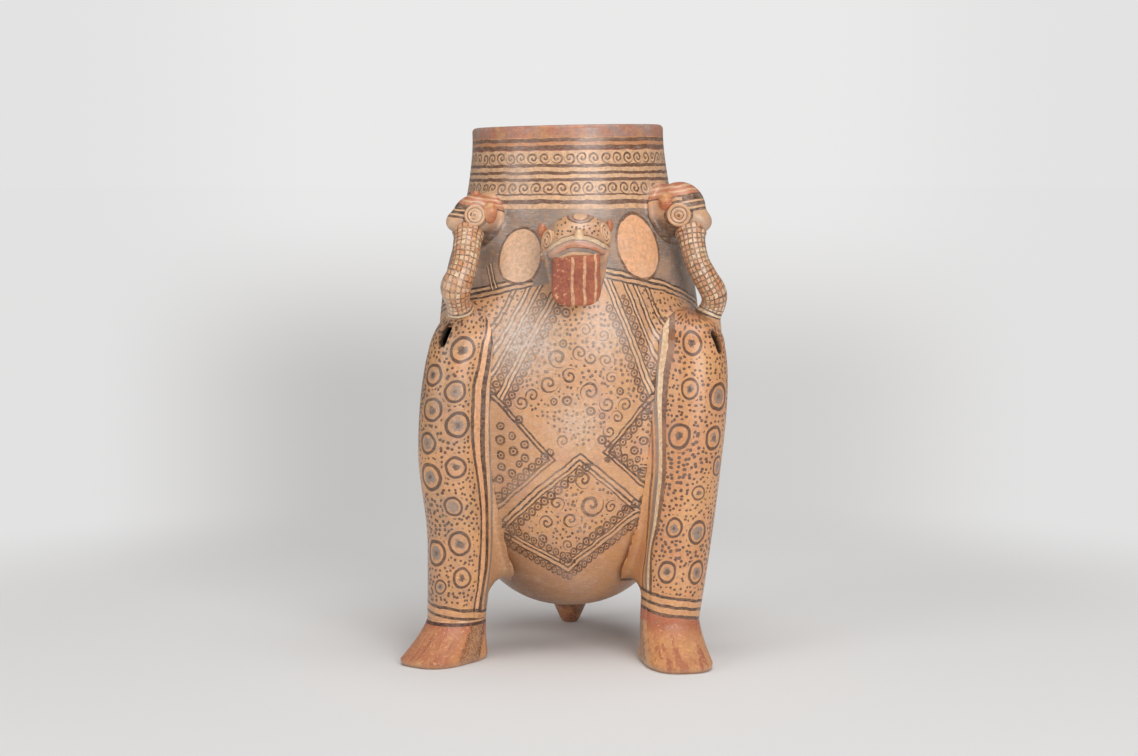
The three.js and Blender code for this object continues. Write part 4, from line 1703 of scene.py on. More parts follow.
@dataclass
class JarWall:
    """The pear-shaped body, the tall collar and the lip coil, as they were raised from coils.

    Attributes:
        wall: The body's thickness.
        neck_wall: The collar's thickness.
        rim_height: How much of the top is the lip coil.
        sides: How many sides a turn has.
        luted: The forms that stand against the wall, and how wide each joint is smoothed.
    """

    wall: float = 7.0
    neck_wall: float = 5.5
    rim_height: float = 7.5
    sides: int = 208
    luted: tuple[tuple[Form, float], ...] = ()

    def build(self, paint: Finish, lip: Finish) -> None:
        """Makes the three pieces.

        Args:
            paint: The finish of the body and the collar.
            lip: The finish of the lip coil.
        """
        self.body(paint)
        self.collar(paint)
        self.rim(lip)

    def body(self, paint: Finish) -> None:
        """Raises the body, with its clay smoothed on to what is luted to it.

        Args:
            paint: The body's finish.
        """
        outside = finer(JAR.outline(0.0, 72), 2.0)
        inside = JAR.outline(-self.wall, 26)[::-1]
        bm = spun([*outside, *inside], self.sides)
        self.finish_outside(bm)
        Piece("bowl_body", Slot.PAINTED).fire(bm, paint)

    def collar(self, paint: Finish) -> None:
        """Raises the collar.

        Args:
            paint: The collar's finish.
        """
        top = JAR.height - self.rim_height
        levels = np.linspace(JAR.shoulder, top, 26)
        outside = [(float(JAR.radius_at(z + 1e-6)[0]), float(z)) for z in levels]
        inside = [(radius - self.neck_wall, z) for radius, z in outside[::-1]]
        bm = spun([*outside, *inside, outside[0]], self.sides)
        put_places(bm, JAR.leaning(places(bm)))
        self.finish_outside(bm)
        Piece("neck_collar", Slot.PAINTED).fire(bm, paint)

    def finish_outside(self, bm: Clay) -> None:
        """Smooths the joints on the outside of the wall.

        Args:
            bm: The mesh of the body or the collar.
        """
        skin = 1.0
        outside = JAR.distance(places(bm)) > -skin
        for form, width in self.luted:
            smoothed_on(bm, form, width, where=outside)
        note(bm, "jar_depth", np.clip(-JAR.distance(places(bm)) / self.neck_wall, 0, 1))

    def rim(self, lip: Finish) -> None:
        """Rolls the lip coil.

        Args:
            lip: The coil's finish.
        """
        bottom = JAR.height - self.rim_height
        thick = self.neck_wall / 2
        middle = float(JAR.radius_at(bottom)[0]) - thick
        profile = [(middle - thick, bottom), (middle + thick, bottom)]
        for i in range(13):
            turn = math.pi * i / 12
            profile.append((middle + thick * math.cos(turn), JAR.height - thick + thick * math.sin(turn)))
        profile.append((middle - thick, bottom))
        bm = spun(finer(profile, 1.4), self.sides)
        put_places(bm, JAR.leaning(places(bm)))
        Piece("rim_coil", Slot.RED).fire(bm, lip)


# The legs


class Side(Enum):
    """The viewer's left and right, as the nodes are named."""

    LEFT = "left"
    RIGHT = "right"


def cut(piece: bpy.types.Object, tool: Clay) -> None:
    """Cuts a hole through a finished piece.

    Args:
        piece: The piece in the row's frame.
        tool: The cutter in millimetres from the jar's axis. It is used up.
    """
    cutter = made("cutter", tool, TO_FRAME)
    knife = piece.modifiers.new("cut", "BOOLEAN")
    knife.operation, knife.object, knife.solver = "DIFFERENCE", cutter, "EXACT"
    shaped = bpy.data.meshes.new_from_object(piece.evaluated_get(bpy.context.evaluated_depsgraph_get()))
    piece.modifiers.clear()
    piece.data = shaped
    shaped.name = piece.name
    shaped.set_sharp_from_angle(angle=math.radians(CREASE))
    bpy.data.meshes.remove(cutter.data)


@dataclass
class Leg:
    """A hollow leg with its foot, its vent and the two pellets that rattle in it.

    Attributes:
        side: The leg's side.
        form: The tube's form.
        toe: How far the sole's middle lies from the ankle's, along x and y.
        sole: The sole's half length, half width and bearing in radians.
        vent: The slot's x and z, its turn about z and its lean, in radians.
        pellets: Where the pair of pellets lies.
        lines: The pixels of the view that each stripe on its inner side runs through, the outermost first.
        girth: The radius at which its painting is unrolled.
        wall: The tube's thickness.
        clear: How far the hollow stays from the jar's outside.
        ankle: The height at which the foot ends.
        web: The heights between which the web to the body sets in.
        sides: How many sides a turn has.
        vent_radius: The radius of the vent's ends.
        vent_half: How far the middle of each end lies from the vent's middle.
        pellet_radius: A pellet's radius.
        pellet_spread: How far each pellet lies from the middle of the pair.
    """

    side: Side
    form: LegForm
    toe: tuple[float, float]
    sole: Triple
    vent: tuple[float, float, float, float]
    pellets: tuple[float, float]
    lines: tuple[tuple[tuple[float, float], ...], ...]
    girth: float = 20.0
    wall: float = 5.5
    clear: float = 5.0
    ankle: float = 24.1
    web: tuple[float, float] = (38, 54)
    sides: int = 96
    vent_radius: float = 3.6
    vent_half: float = 3.8
    pellet_radius: float = 4.6
    pellet_spread: float = 5.6

    def build(self, paint: Finish, red: Finish, bare: Finish) -> None:
        """Makes the leg's pieces.

        Args:
            paint: The tube's finish.
            red: The foot's finish.
            bare: The pellets' finish.
        """
        self.tube(paint)
        self.foot(red)
        for label, hand in (("a", -1), ("b", 1)):
            self.pellet(label, hand, bare)

    def profile(self, inset: float) -> list[tuple[float, float]]:
        """Lists the tube's outline from the ankle to the top of the dome.

        Args:
            inset: How far inside the outer surface it runs.

        Returns:
            Pairs of radius and height.
        """
        heights = np.linspace(self.ankle, self.form.dome, 96 if inset == 0 else 40)
        points = [(float(self.form.sections.at(z)[0, 2]) - inset, float(z)) for z in heights]
        dome, rise = points[-1][0], self.form.top - inset - self.form.dome
        turns = 18 if inset == 0 else 9
        for i in range(1, turns + 1):
            turn = math.pi / 2 * i / turns
            points.append((0.0 if i == turns else dome * math.cos(turn), self.form.dome + rise * math.sin(turn)))
        return points

    def tube(self, paint: Finish) -> None:
        """Builds the hollow tube, luted to the body by a web, and cuts its vent.

        Args:
            paint: The tube's finish.
        """
        bm = spun([*self.profile(0.0)[::-1], *self.profile(self.wall)], self.sides)
        points = places(bm)
        section = self.form.sections.at(points[:, 2])
        over = np.maximum(0, points[:, 2] - self.form.dome) / (self.form.top - self.form.dome)
        full = self.form.sections.at(np.minimum(points[:, 2], self.form.dome))[:, 2]
        outer = np.hypot(np.hypot(points[:, 0], points[:, 1]) / full, over) > 0.9
        away = np.hypot(section[:, 0], section[:, 1])
        inward = np.maximum(0, -(points[:, 0] * section[:, 0] + points[:, 1] * section[:, 1]) / (away * section[:, 2]))
        missing = np.maximum(0, away - section[:, 2] - JAR.radius_at(points[:, 2]) + 2)
        web = np.where(outer, missing * smoothstep(*self.web, points[:, 2]) * inward**3, 0)
        points[:, 0] += section[:, 0] * (1 - web / away)
        points[:, 1] += section[:, 1] * (1 - web / away)
        gap = JAR.distance(points)
        shy = ~outer & (gap < self.clear)
        points[shy] += gradient(JAR, points[shy]) * (self.clear - gap[shy])[:, None]
        put_places(bm, points)
        kept_inside(bm, JAR)
        smoothed_on(bm, JAR, 15.0, where=outer)
        piece = Piece(f"{self.side.value}_leg", Slot.PAINTED).fire(bm, paint)
        cut(piece, self.slot())
        self.measure(piece)

    def measure(self, piece: bpy.types.Object) -> None:
        """Notes on every vertex how far it lies from the tube's own middle, for the painting.

        Args:
            piece: The finished tube.
        """
        mesh = piece.data
        flat = np.zeros(len(mesh.vertices) * 3)
        mesh.vertices.foreach_get("co", flat)
        points = (flat.reshape(-1, 3) - np.array(AXIS)) / MM
        place = points.copy()
        place[:, :2] -= self.form.sections.at(points[:, 2])[:, :2]
        column, row = SIGHT.seen(points)
        lines = [Course(tuple((mark, place) for place, mark in line)).at(row)[:, 0] for line in self.lines]
        share = (column - lines[0]) / (lines[1] - lines[0])
        for i in range(1, len(lines) - 1):
            share = np.where(share > i, i + (column - lines[i]) / (lines[i + 1] - lines[i]), share)
        depth = np.clip(-self.form.distance(points) / self.wall, 0, 1)
        for name, kind, key, values in (
            ("leg_place", "FLOAT_VECTOR", "vector", place), ("leg_edge", "FLOAT", "value", share),
            ("leg_depth", "FLOAT", "value", depth),
        ):
            mesh.attributes.new(name, kind, "POINT").data.foreach_set(key, values.ravel())

    def slot(self) -> Clay:
        """Makes the cutter of the vent.

        Returns:
            An upright lozenge that reaches through the wall.
        """
        x, z, turn, lean = self.vent
        middle = self.form.sections.at(z)[0]
        front = middle[1] - math.sqrt(middle[2] ** 2 - (x - middle[0]) ** 2)
        bm = bmesh.new()
        bmesh.ops.create_uvsphere(bm, u_segments=24, v_segments=16, radius=self.vent_radius)
        through, level = 3.5, 0.01
        for vertex in bm.verts:
            if abs(vertex.co.z) > level:
                vertex.co.z += math.copysign(self.vent_half, vertex.co.z)
            vertex.co.y *= through
        place = Matrix.Translation((x, front + 1, z)) @ Matrix.Rotation(turn, 4, "Z") @ Matrix.Rotation(lean, 4, "Y")
        bmesh.ops.transform(bm, matrix=place, verts=bm.verts)
        return bm

    def foot(self, red: Finish) -> None:
        """Builds the foot, round at the ankle and drawn out to a blunt toe.

        Args:
            red: The foot's finish.
        """
        long, wide, bearing = self.sole
        instep, edge, flat = 24.0, 3.5, 0.93
        centre_x, centre_y, radius = self.form.sections.at(instep)[0]
        profile = [(share, 0.0) for share in np.linspace(0, flat, 10)]
        for i in range(1, 6):
            turn = math.pi / 2 * i / 5
            profile.append((flat + (1 - flat) * math.sin(turn), edge * (1 - math.cos(turn))))
        profile += [(1.0, float(z)) for z in np.linspace(edge, self.ankle, 26)[1:]]
        profile += [(share, self.ankle) for share in (0.5, 0.0)]
        bm = spun(profile, self.sides)
        points = places(bm)
        note(bm, "foot_place", points)
        spread = np.clip((instep - points[:, 2]) / (instep - edge), 0, 1) ** 1.4
        bluntness = 1.3
        reach = np.hypot(points[:, 0], points[:, 1])
        blunt = np.hypot(np.abs(points[:, 0]) ** bluntness, np.abs(points[:, 1]) ** bluntness)
        square = 1 + spread * (np.where(reach > 0, reach**bluntness / np.maximum(blunt, 1e-9), 1) - 1)
        along = points[:, 0] * square * (radius + spread * (long - radius))
        across = points[:, 1] * square * (radius + spread * (wide - radius))
        points[:, 0] = centre_x + spread * self.toe[0] + along * math.cos(bearing) - across * math.sin(bearing)
        points[:, 1] = centre_y + spread * self.toe[1] + along * math.sin(bearing) + across * math.cos(bearing)
        put_places(bm, points)
        Piece(f"{self.side.value}_foot", Slot.RED).fire(bm, red, crease=60)

    def pellet(self, label: str, hand: int, bare: Finish) -> None:
        """Rolls a loose clay ball that lies on the foot inside the leg.

        Args:
            label: The pellet's letter.
            hand: Which of the two places it lies in, -1 or 1.
            bare: The ball's finish.
        """
        x, y = self.pellets
        across = hand * self.pellet_spread / math.hypot(x, y)
        bm = bmesh.new()
        bmesh.ops.create_icosphere(bm, subdivisions=4, radius=self.pellet_radius)
        worked(bm, 0.25, 2.2)
        rest = Vector((x - y * across, y + x * across, 24.3 + self.pellet_radius))
        bmesh.ops.translate(bm, verts=bm.verts, vec=rest)
        name = f"{self.side.value}_rattle_pellet_{label}"
        Piece(name, Slot.BARE, f"{self.side.value}_pellet_{label}").fire(bm, bare)


LEFT_LEG = Leg(
    side=Side.LEFT,
    form=LegForm(
        sections=Course((
            (24, -70.4, -58, 18.2), (45, -69.2, -59, 19.2), (80, -68.8, -61, 19.8), (120, -72.5, -62, 20.8),
            (150, -72.0, -62, 20.9), (175, -69.6, -61, 20.6), (195, -66.0, -59, 19.6), (218, -62.5, -56, 12),
        )),
        dome=190,
        top=218,
    ),
    toe=(-6.8, -19),
    sole=(29.5, 20, -2.2),
    vent=(-75.9, 200.5, -0.52, 0.18),
    pellets=(-69.6, -57.4),
    lines=(
        (
            (486.5, 318), (486, 332), (482.5, 344), (478.7, 365), (474, 383), (473, 398), (472, 428), (474, 455),
            (477, 475), (479, 491), (481, 512), (481, 537), (479.5, 562), (477.6, 587), (474, 609), (473, 640),
        ),
        (
            (494, 318), (493, 332), (490, 346), (487.5, 367), (484.5, 385), (483.5, 400), (482.6, 422), (482.5, 455),
            (484.5, 475), (486.4, 500), (487, 525), (487, 544), (486.4, 566), (483, 587), (480, 606), (478.5, 640),
        ),
        (
            (500, 318), (499.5, 332), (498, 346), (495, 368), (491.5, 387), (491, 400), (490.7, 422), (491, 455),
            (491.7, 475), (492, 500), (492, 540), (491.4, 556), (489, 578), (486, 600), (484, 640),
        ),
    ),
)
RIGHT_LEG = Leg(
    side=Side.RIGHT,
    form=LegForm(
        sections=Course((
            (24, 62.3, -63, 18.4), (45, 64.4, -62, 19.6), (80, 68.2, -61, 20.9), (120, 71.8, -60, 22.1),
            (150, 74.6, -59, 22.4), (175, 75.8, -57, 22.05), (195, 75.4, -54, 20.4), (218, 74.5, -48, 14),
        )),
        dome=193,
        top=213,
    ),
    toe=(2.4, -21),
    sole=(35.5, 20.4, -1.39),
    vent=(90.6, 195.5, 0.87, -0.18),
    pellets=(62.3, -63),
    lines=(
        (
            (672, 320), (671, 344), (668.7, 360), (666.4, 372), (665, 389), (664, 405), (664, 457), (663.7, 475),
            (662, 494), (659.4, 512), (656, 531), (652.5, 545), (651, 556), (650.6, 569), (650, 600), (648.5, 612),
            (647, 627), (646, 660),
        ),
        (
            (662, 320), (659.5, 344), (657, 365), (655.8, 385), (655.5, 400), (657, 428), (657.5, 457), (657, 475),
            (655.5, 490), (654, 506), (652, 525), (649, 545), (647.5, 559), (646, 575), (646, 594), (644.4, 612),
            (642.5, 635), (641, 660),
        ),
    ),
)


LEFT_SPOTS = (
    Curl(462.5, 350, 13), Curl(433, 375, 10), Curl(455, 391.7, 11), Curl(431.7, 410, 11), Curl(457.5, 425, 12.5),
    Curl(427.5, 443, 10), Curl(456, 467.5, 10.5), Curl(430, 477, 12.5), Curl(453.5, 506.7, 9), Curl(459.7, 544, 11),
    Curl(436, 553, 12), Curl(462, 578, 9.5), Curl(440, 587, 7),
)
RIGHT_SPOTS = (
    Curl(692, 343, 12), Curl(690, 389, 10), Curl(719, 396.7, 13), Curl(679, 436, 12.5), Curl(714, 438, 11),
    Curl(717.5, 466, 9), Curl(698.5, 493, 7), Curl(674, 528, 10), Curl(698, 532.5, 11), Curl(666.7, 572, 10.5),
    Curl(696.7, 572.5, 11),
)


@dataclass
class Tail:
    """The cone at the back, the third point that the jar stands on.

    Attributes:
        x: Where its tip stands.
        y: Where its tip stands, behind the jar's axis.
        tip: The tip's radius.
        taper: How much wider it grows for each millimetre of height.
        lean: How far it leans to the front for each millimetre.
        top: The height of its hidden end.
    """

    x: float = 0.3
    y: float = 49.0
    tip: float = 5.4
    taper: float = 0.42
    lean: float = 0.3
    top: float = 62.0

    def build(self, paint: Finish) -> None:
        """Makes the cone.

        Args:
            paint: The cone's finish.
        """
        profile = [(0.0, 0.0), (self.tip - 2, 0.0), (self.tip - 1, 0.25), (self.tip - 0.4, 0.8)]
        profile += [(self.tip + self.taper * z, float(z)) for z in np.linspace(2.4, self.top, 30)]
        bm = spun([*profile, (0.0, self.top)], 64)
        points = places(bm)
        points[:, 1] += self.y - self.lean * np.maximum(0, points[:, 2] - 3)
        points[:, 0] += self.x
        put_places(bm, points)
        kept_inside(bm, JAR)
        smoothed_on(bm, JAR, 9.0)
        Piece("tail_support", Slot.PAINTED).fire(bm, paint)


# The shoulder heads and their arms


def rosette(
    radius: float, centre: Sequence[float], facing: Sequence[float], tall: float = 1.0, sunk: float = 5.0
) -> Clay:
    """Presses an eye: a boss inside two raised rings.

    Args:
        radius: The outer ring's outside radius.
        centre: The middle of its base.
        facing: The way that it looks.
        tall: Its height as a share of its width.
        sunk: How deep its stem goes into the head.

    Returns:
        The closed mesh.
    """
    steps = (
        (1.0, -0.2), (0.985, 0.5), (0.93, 1.05), (0.86, 1.2), (0.79, 1.0), (0.73, 0.55), (0.67, 0.5), (0.61, 0.95),
        (0.54, 1.25), (0.47, 1.1), (0.41, 0.65), (0.36, 0.6), (0.31, 1.1), (0.22, 1.75), (0.1, 2.05), (0.0, 2.1),
    )
    profile = [(0.0, -sunk), (radius * 0.9, -sunk), *((radius * share, height) for share, height in steps)]
    bm = spun(finer(profile, 0.7), 56)
    note(bm, "eye_share", np.linalg.norm(places(bm)[:, :2], axis=1) / radius)
    turn = Vector(facing).to_track_quat("Z", "Y").to_matrix().to_4x4()
    shape = Matrix.Diagonal((1.0, tall, 1.0, 1.0))
    bmesh.ops.transform(bm, matrix=Matrix.Translation(centre) @ turn @ shape, verts=bm.verts)
    return bm


@dataclass
class ShoulderHead:
    """A small head on the shoulder and the looped arm below it.

    Attributes:
        side: Its side.
        centre: The head's middle.
        half: The head's half sizes.
        snout: The snout's offset from the middle, then its radius.
        eye_radius: The eyes' size.
        eyes: The offsets of the front and the back eye.
        ears: The offsets of the front and the back ear.
        ear_half: An ear's half sizes.
        arm: The arm's course.
        leg: The leg that the arm comes down on.
    """

    side: Side
    centre: Triple
    half: Triple
    snout: tuple[float, float, float, float]
    eye_radius: float
    eyes: tuple[Triple, Triple]
    ears: tuple[Triple, Triple]
    ear_half: Triple
    arm: tuple[tuple[float, float, float, float], ...]
    leg: LegForm

    def course(self) -> Course:
        """Gives the arm's course over its share of the length."""
        last = len(self.arm) - 1
        return Course(tuple((i / last, *knot) for i, knot in enumerate(self.arm)))

    def course_length(self) -> float:
        """Gives the arm's length along its middle."""
        line = self.course().at(np.linspace(0, 1, 200))[:, :3]
        return float(np.linalg.norm(np.diff(line, axis=0), axis=1).sum())

    def offset(self, shift: Sequence[float]) -> Triple:
        """Gives the place at a shift from the head's middle."""
        return tuple(a + b for a, b in zip(self.centre, shift[:3]))

    def lump(self) -> Lump:
        """Gives the head and its snout as one lump of clay.

        Returns:
            The lump.
        """
        radius = self.snout[3]
        snout = Egg(self.offset(self.snout), (radius, radius * 0.9, radius * 0.95))
        return Lump(parts=(Egg(self.centre, self.half), snout), soft=5.0)

    def build(self, paint: Finish, arm: Finish, eye: Finish, red: Finish) -> None:
        """Makes the head's pieces.

        Args:
            paint: The head's finish.
            arm: The arm's finish.
            eye: The eyes' finish.
            red: The ears' finish.
        """
        name = self.side.value
        bm = modelled(self.lump(), self.centre, 40.0, 6)
        kept_inside(bm, JAR)
        smoothed_on(bm, JAR, 12.0)
        head = Piece(f"{name}_shoulder_head", Slot.PAINTED, also=(f"{name}_shoulder_snout",))
        head.fire(bm, paint)
        for label, shift in zip(("front", "back"), self.eyes):
            bm = rosette(self.eye_radius, self.offset(shift), shift)
            kept_inside(bm, JAR, 2.0)
            Piece(f"{name}_shoulder_{label}_eye", Slot.CREAM).fire(bm, eye, 180)
        for label, shift in zip(("front", "back"), self.ears):
            bm = modelled(Egg(self.offset(shift), self.ear_half), self.offset(shift), 20.0, 4)
            smoothed_on(bm, self.lump(), 3.5)
            Piece(f"{name}_shoulder_{label}_ear", Slot.RED).fire(bm, red)
        self.limb(arm)

    def limb(self, finish: Finish) -> None:
        """Lays the arm's coil from the head down to the leg.

        Args:
            finish: The arm's finish.
        """
        course = self.course()
        bm = spun([(0.0, 0.0), *((1.0, float(share)) for share in np.linspace(0, 1, 84)), (0.0, 1.0)], 40)
        points = places(bm)
        share = np.clip(points[:, 2], 0, 1)
        here = course.at(share)
        ahead = course.at(np.clip(share + 0.01, 0, 1))[:, :3] - course.at(np.clip(share - 0.01, 0, 1))[:, :3]
        ahead /= np.linalg.norm(ahead, axis=1, keepdims=True)
        across = np.cross(np.array([1.0, 0.0, 0.0]), ahead)
        across /= np.linalg.norm(across, axis=1, keepdims=True)
        front = np.cross(across, ahead)
        line = course.at(np.linspace(0, 1, 200))[:, :3]
        run = np.concatenate([[0.0], np.cumsum(np.linalg.norm(np.diff(line, axis=0), axis=1))])
        along = np.interp(share, np.linspace(0, 1, 200), run)
        note(bm, "arm_place", np.column_stack([points[:, :2], along]))
        points = here[:, :3] + front * (points[:, :1] * here[:, 3:]) + across * (points[:, 1:2] * here[:, 3:])
        put_places(bm, points)
        kept_inside(bm, self.leg, 3.5)
        kept_inside(bm, JAR)
        smoothed_on(bm, self.leg, 8.0)
        smoothed_on(bm, JAR, 6.0)
        smoothed_on(bm, self.lump(), 5.0)
        Piece(f"{self.side.value}_arm", Slot.PAINTED).fire(bm, finish)


LEFT_HEAD = ShoulderHead(
    side=Side.LEFT,
    centre=(-57.7, -51.5, 272),
    half=(14.8, 14.8, 14.2),
    snout=(-11.6, -7, -2.5, 6.6),
    eye_radius=6.6,
    eyes=((-0.2, -13.6, 1.6), (-6.5, 12.2, 1.6)),
    ears=((9.3, -11.6, 3.4), (-0.5, 8.6, 10.6)),
    ear_half=(4.2, 4.2, 6),
    arm=(
        (-62, -58.5, 263, 8.8), (-63, -67, 253, 8.6), (-64.2, -72, 244, 8.2), (-66.8, -74, 236.5, 8.8),
        (-69.4, -73.5, 229.4, 9.4), (-68.6, -69, 222, 7.7), (-67.4, -63, 214, 7), (-68, -59, 206, 7.6),
    ),
    leg=LEFT_LEG.form,
)
RIGHT_HEAD = ShoulderHead(
    side=Side.RIGHT,
    centre=(68.5, -41.5, 277),
    half=(16.2, 16.2, 17),
    snout=(12.4, -7, -7.5, 7.2),
    eye_radius=7.4,
    eyes=((-1.2, -15.2, -3.2), (1, 15.2, -3.2)),
    ears=((-9.6, -12.6, 5.4), (-5.5, 12, 9)),
    ear_half=(4.2, 4.4, 5.0),
    arm=(
        (74, -46, 268, 8.6), (75.2, -49, 261.8, 8.6), (76.4, -51.5, 253.8, 8.0), (79, -53.5, 244.5, 7.6),
        (83.8, -53.5, 235.2, 7.8), (89, -51, 226.1, 8.2), (89.6, -47.5, 219.1, 7.7), (86.6, -45.5, 211, 7.4),
        (85.5, -44, 203, 7.2),
    ),
    leg=RIGHT_LEG.form,
)


# The feline head


@dataclass(frozen=True)
class SlabForm:
    """A slab of clay that hangs from the mouth, with rounded edges and a round tip.

    Attributes:
        y: Where its top stands.
        top: The height of its top.
        top_width: Its width at the lips.
        tip_width: Its width above the tip.
        length: How far it hangs.
        thick: Its thickness.
        lean: How far it leans in to the body, in radians.
        x: The head's middle.
    """

    y: float
    top: float
    top_width: float
    tip_width: float
    length: float
    thick: float
    lean: float = 0.33
    x: float = 4.0

    def local(self, points: Points) -> Points:
        """Gives places on the slab: across it, down it and through it.

        Args:
            points: Places on the jar.

        Returns:
            The same places measured from the middle of the slab's top edge.
        """
        turn = math.pi / 2 + self.lean
        rel = points - np.array([self.x, self.y, self.top])
        down = -(rel[:, 1] * math.cos(turn) + rel[:, 2] * math.sin(turn))
        through = -rel[:, 1] * math.sin(turn) + rel[:, 2] * math.cos(turn)
        return np.stack([rel[:, 0], down, through], axis=1)

    def distance(self, points: Points) -> Points:
        """Gives how far points are outside the slab.

        Args:
            points: Places, one row each.

        Returns:
            The distance for each point, negative inside.
        """
        edge = 2.6

        def rounded(across: Points, along: Points) -> Points:
            """Gives the distance from a square corner whose sides lie that far away."""
            return np.hypot(np.maximum(across, 0), np.maximum(along, 0)) + np.minimum(np.maximum(across, along), 0)

        place = self.local(points)
        share = np.clip(place[:, 1] / self.length, 0, 1)
        half = (self.top_width + (self.tip_width - self.top_width) * share) / 2
        corner = self.tip_width * 0.30
        middle = self.length / 2
        lower = place[:, 1] > middle
        round_by = np.where(lower, corner, 1.0)
        over_x = np.abs(place[:, 0]) - (half - round_by)
        over_y = np.abs(place[:, 1] - middle) - (middle - round_by)
        outline = rounded(over_x, over_y) - round_by
        over_z = np.abs(place[:, 2]) - (self.thick / 2 - edge)
        return rounded(outline + edge, over_z) - edge


@dataclass
class FelineHead:
    """The head on the chest, with its tongue hanging out over the lower jaw.

    Attributes:
        x: How far its middle stands from the jar's.
        skull: The skull, before the head is set askew.
        muzzle: The muzzle.
        lips: The two lip pads and the bridge of the nose.
        nose: The nose's tip and wings.
        skew: How far it leans over its height and rises over its width.
        tongue: The tongue's slab.
        jaw: The lower jaw's slab.
        eye_radius: The eyes' size.
    """

    x: float = 4.0
    skull: Egg = Egg((0, -80, 256), (20.5, 24, 19))
    muzzle: Egg = Egg((0, -100.5, 254.5), (17.5, 14.5, 7.5))
    lips: tuple[Egg, ...] = (
        Egg((-6.5, -109.5, 254.6), (10.5, 5.2, 3.6), (-18, 0, -20)),
        Egg((8.5, -109.5, 254.6), (10.5, 5.2, 3.6), (18, 0, 20)), Egg((1.0, -104.0, 260.0), (3.4, 5.0, 5.5)),
    )
    nose: tuple[Egg, ...] = (Egg((5.6, -107.6, 262.2), (2.6, 3.0, 4.0)), Egg((5.6, -109.6, 259.4), (4.2, 2.6, 2.2)))
    skew: tuple[float, float] = (0.04, 0.07)
    tongue: SlabForm = SlabForm(y=-109, top=254.5, top_width=28, tip_width=30, length=35.5, thick=8.5)
    jaw: SlabForm = SlabForm(y=-100.5, top=253, top_width=40, tip_width=28, length=31, thick=9.5)
    eye_radius: float = 5.0

    def skewed(self, points: Points) -> Points:
        """Sets the head as far out of true as the potter left it.

        Args:
            points: Places on the straight head.

        Returns:
            The places on the jar.
        """
        moved = points.copy()
        moved[:, 2] += self.skew[1] * points[:, 0]
        moved[:, 0] += self.x + self.skew[0] * (points[:, 2] - self.skull.centre[2])
        return moved

    def lump(self) -> Lump:
        """Gives the skull, the muzzle and the lips as one lump of clay."""
        return Lump(parts=(self.skull, self.muzzle, *self.lips), soft=4.0)

    def build(self, paint: Finish, tongue: Finish, jaw: Finish, cream: Finish, eye: Finish, red: Finish) -> None:
        """Makes the head's pieces.

        Args:
            paint: The finish of the skull and the muzzle.
            tongue: The tongue's finish.
            jaw: The lower jaw's finish.
            cream: The nose's finish, pale cream that is partly its slip and partly a painted highlight on its ridge.
            eye: The eyes' finish.
            red: The ears' finish.
        """
        bm = modelled(self.lump(), (0, -90, 254), 60.0, 6)
        put_places(bm, self.skewed(places(bm)))
        kept_inside(bm, JAR)
        smoothed_on(bm, JAR, 8.0)
        Piece("feline_head", Slot.PAINTED).fire(bm, paint)
        for name, form, finish, slot in (
            ("feline_tongue", self.tongue, tongue, Slot.RED), ("feline_lower_jaw", self.jaw, jaw, Slot.CREAM),
        ):
            half_way = form.length / 2
            core = form.x, form.y + math.sin(form.lean) * half_way, form.top - math.cos(form.lean) * half_way
            bm = modelled(form, core, 40.0, 6)
            kept_inside(bm, JAR)
            Piece(name, slot).fire(bm, finish)
        # The nose's pale cream is partly its slip and partly a painted highlight on its ridge.
        bm = modelled(Lump(parts=self.nose), (5.6, -108.8, 260.4), 12.0, 5)
        Piece("feline_nose", Slot.CREAM).fire(bm, cream)
        for name, place, facing, ear in (
            ("left", (-13.2, -93.4, 259), (-0.8, -0.6, 0.14), Egg((-16.6, -80, 264.5), (2.9, 3.9, 4.8))),
            ("right", (21.2, -91.4, 263.2), (0.84, -0.52, 0.2), Egg((24.2, -79, 267.5), (2.5, 3.6, 3.8))),
        ):
            bm = rosette(self.eye_radius, place, facing, 1.35)
            Piece(f"feline_{name}_eye", Slot.CREAM).fire(bm, eye, 180)
            bm = modelled(ear, ear.centre, 12.0, 4)
            Piece(f"feline_{name}_ear", Slot.RED).fire(bm, red)


# The studio


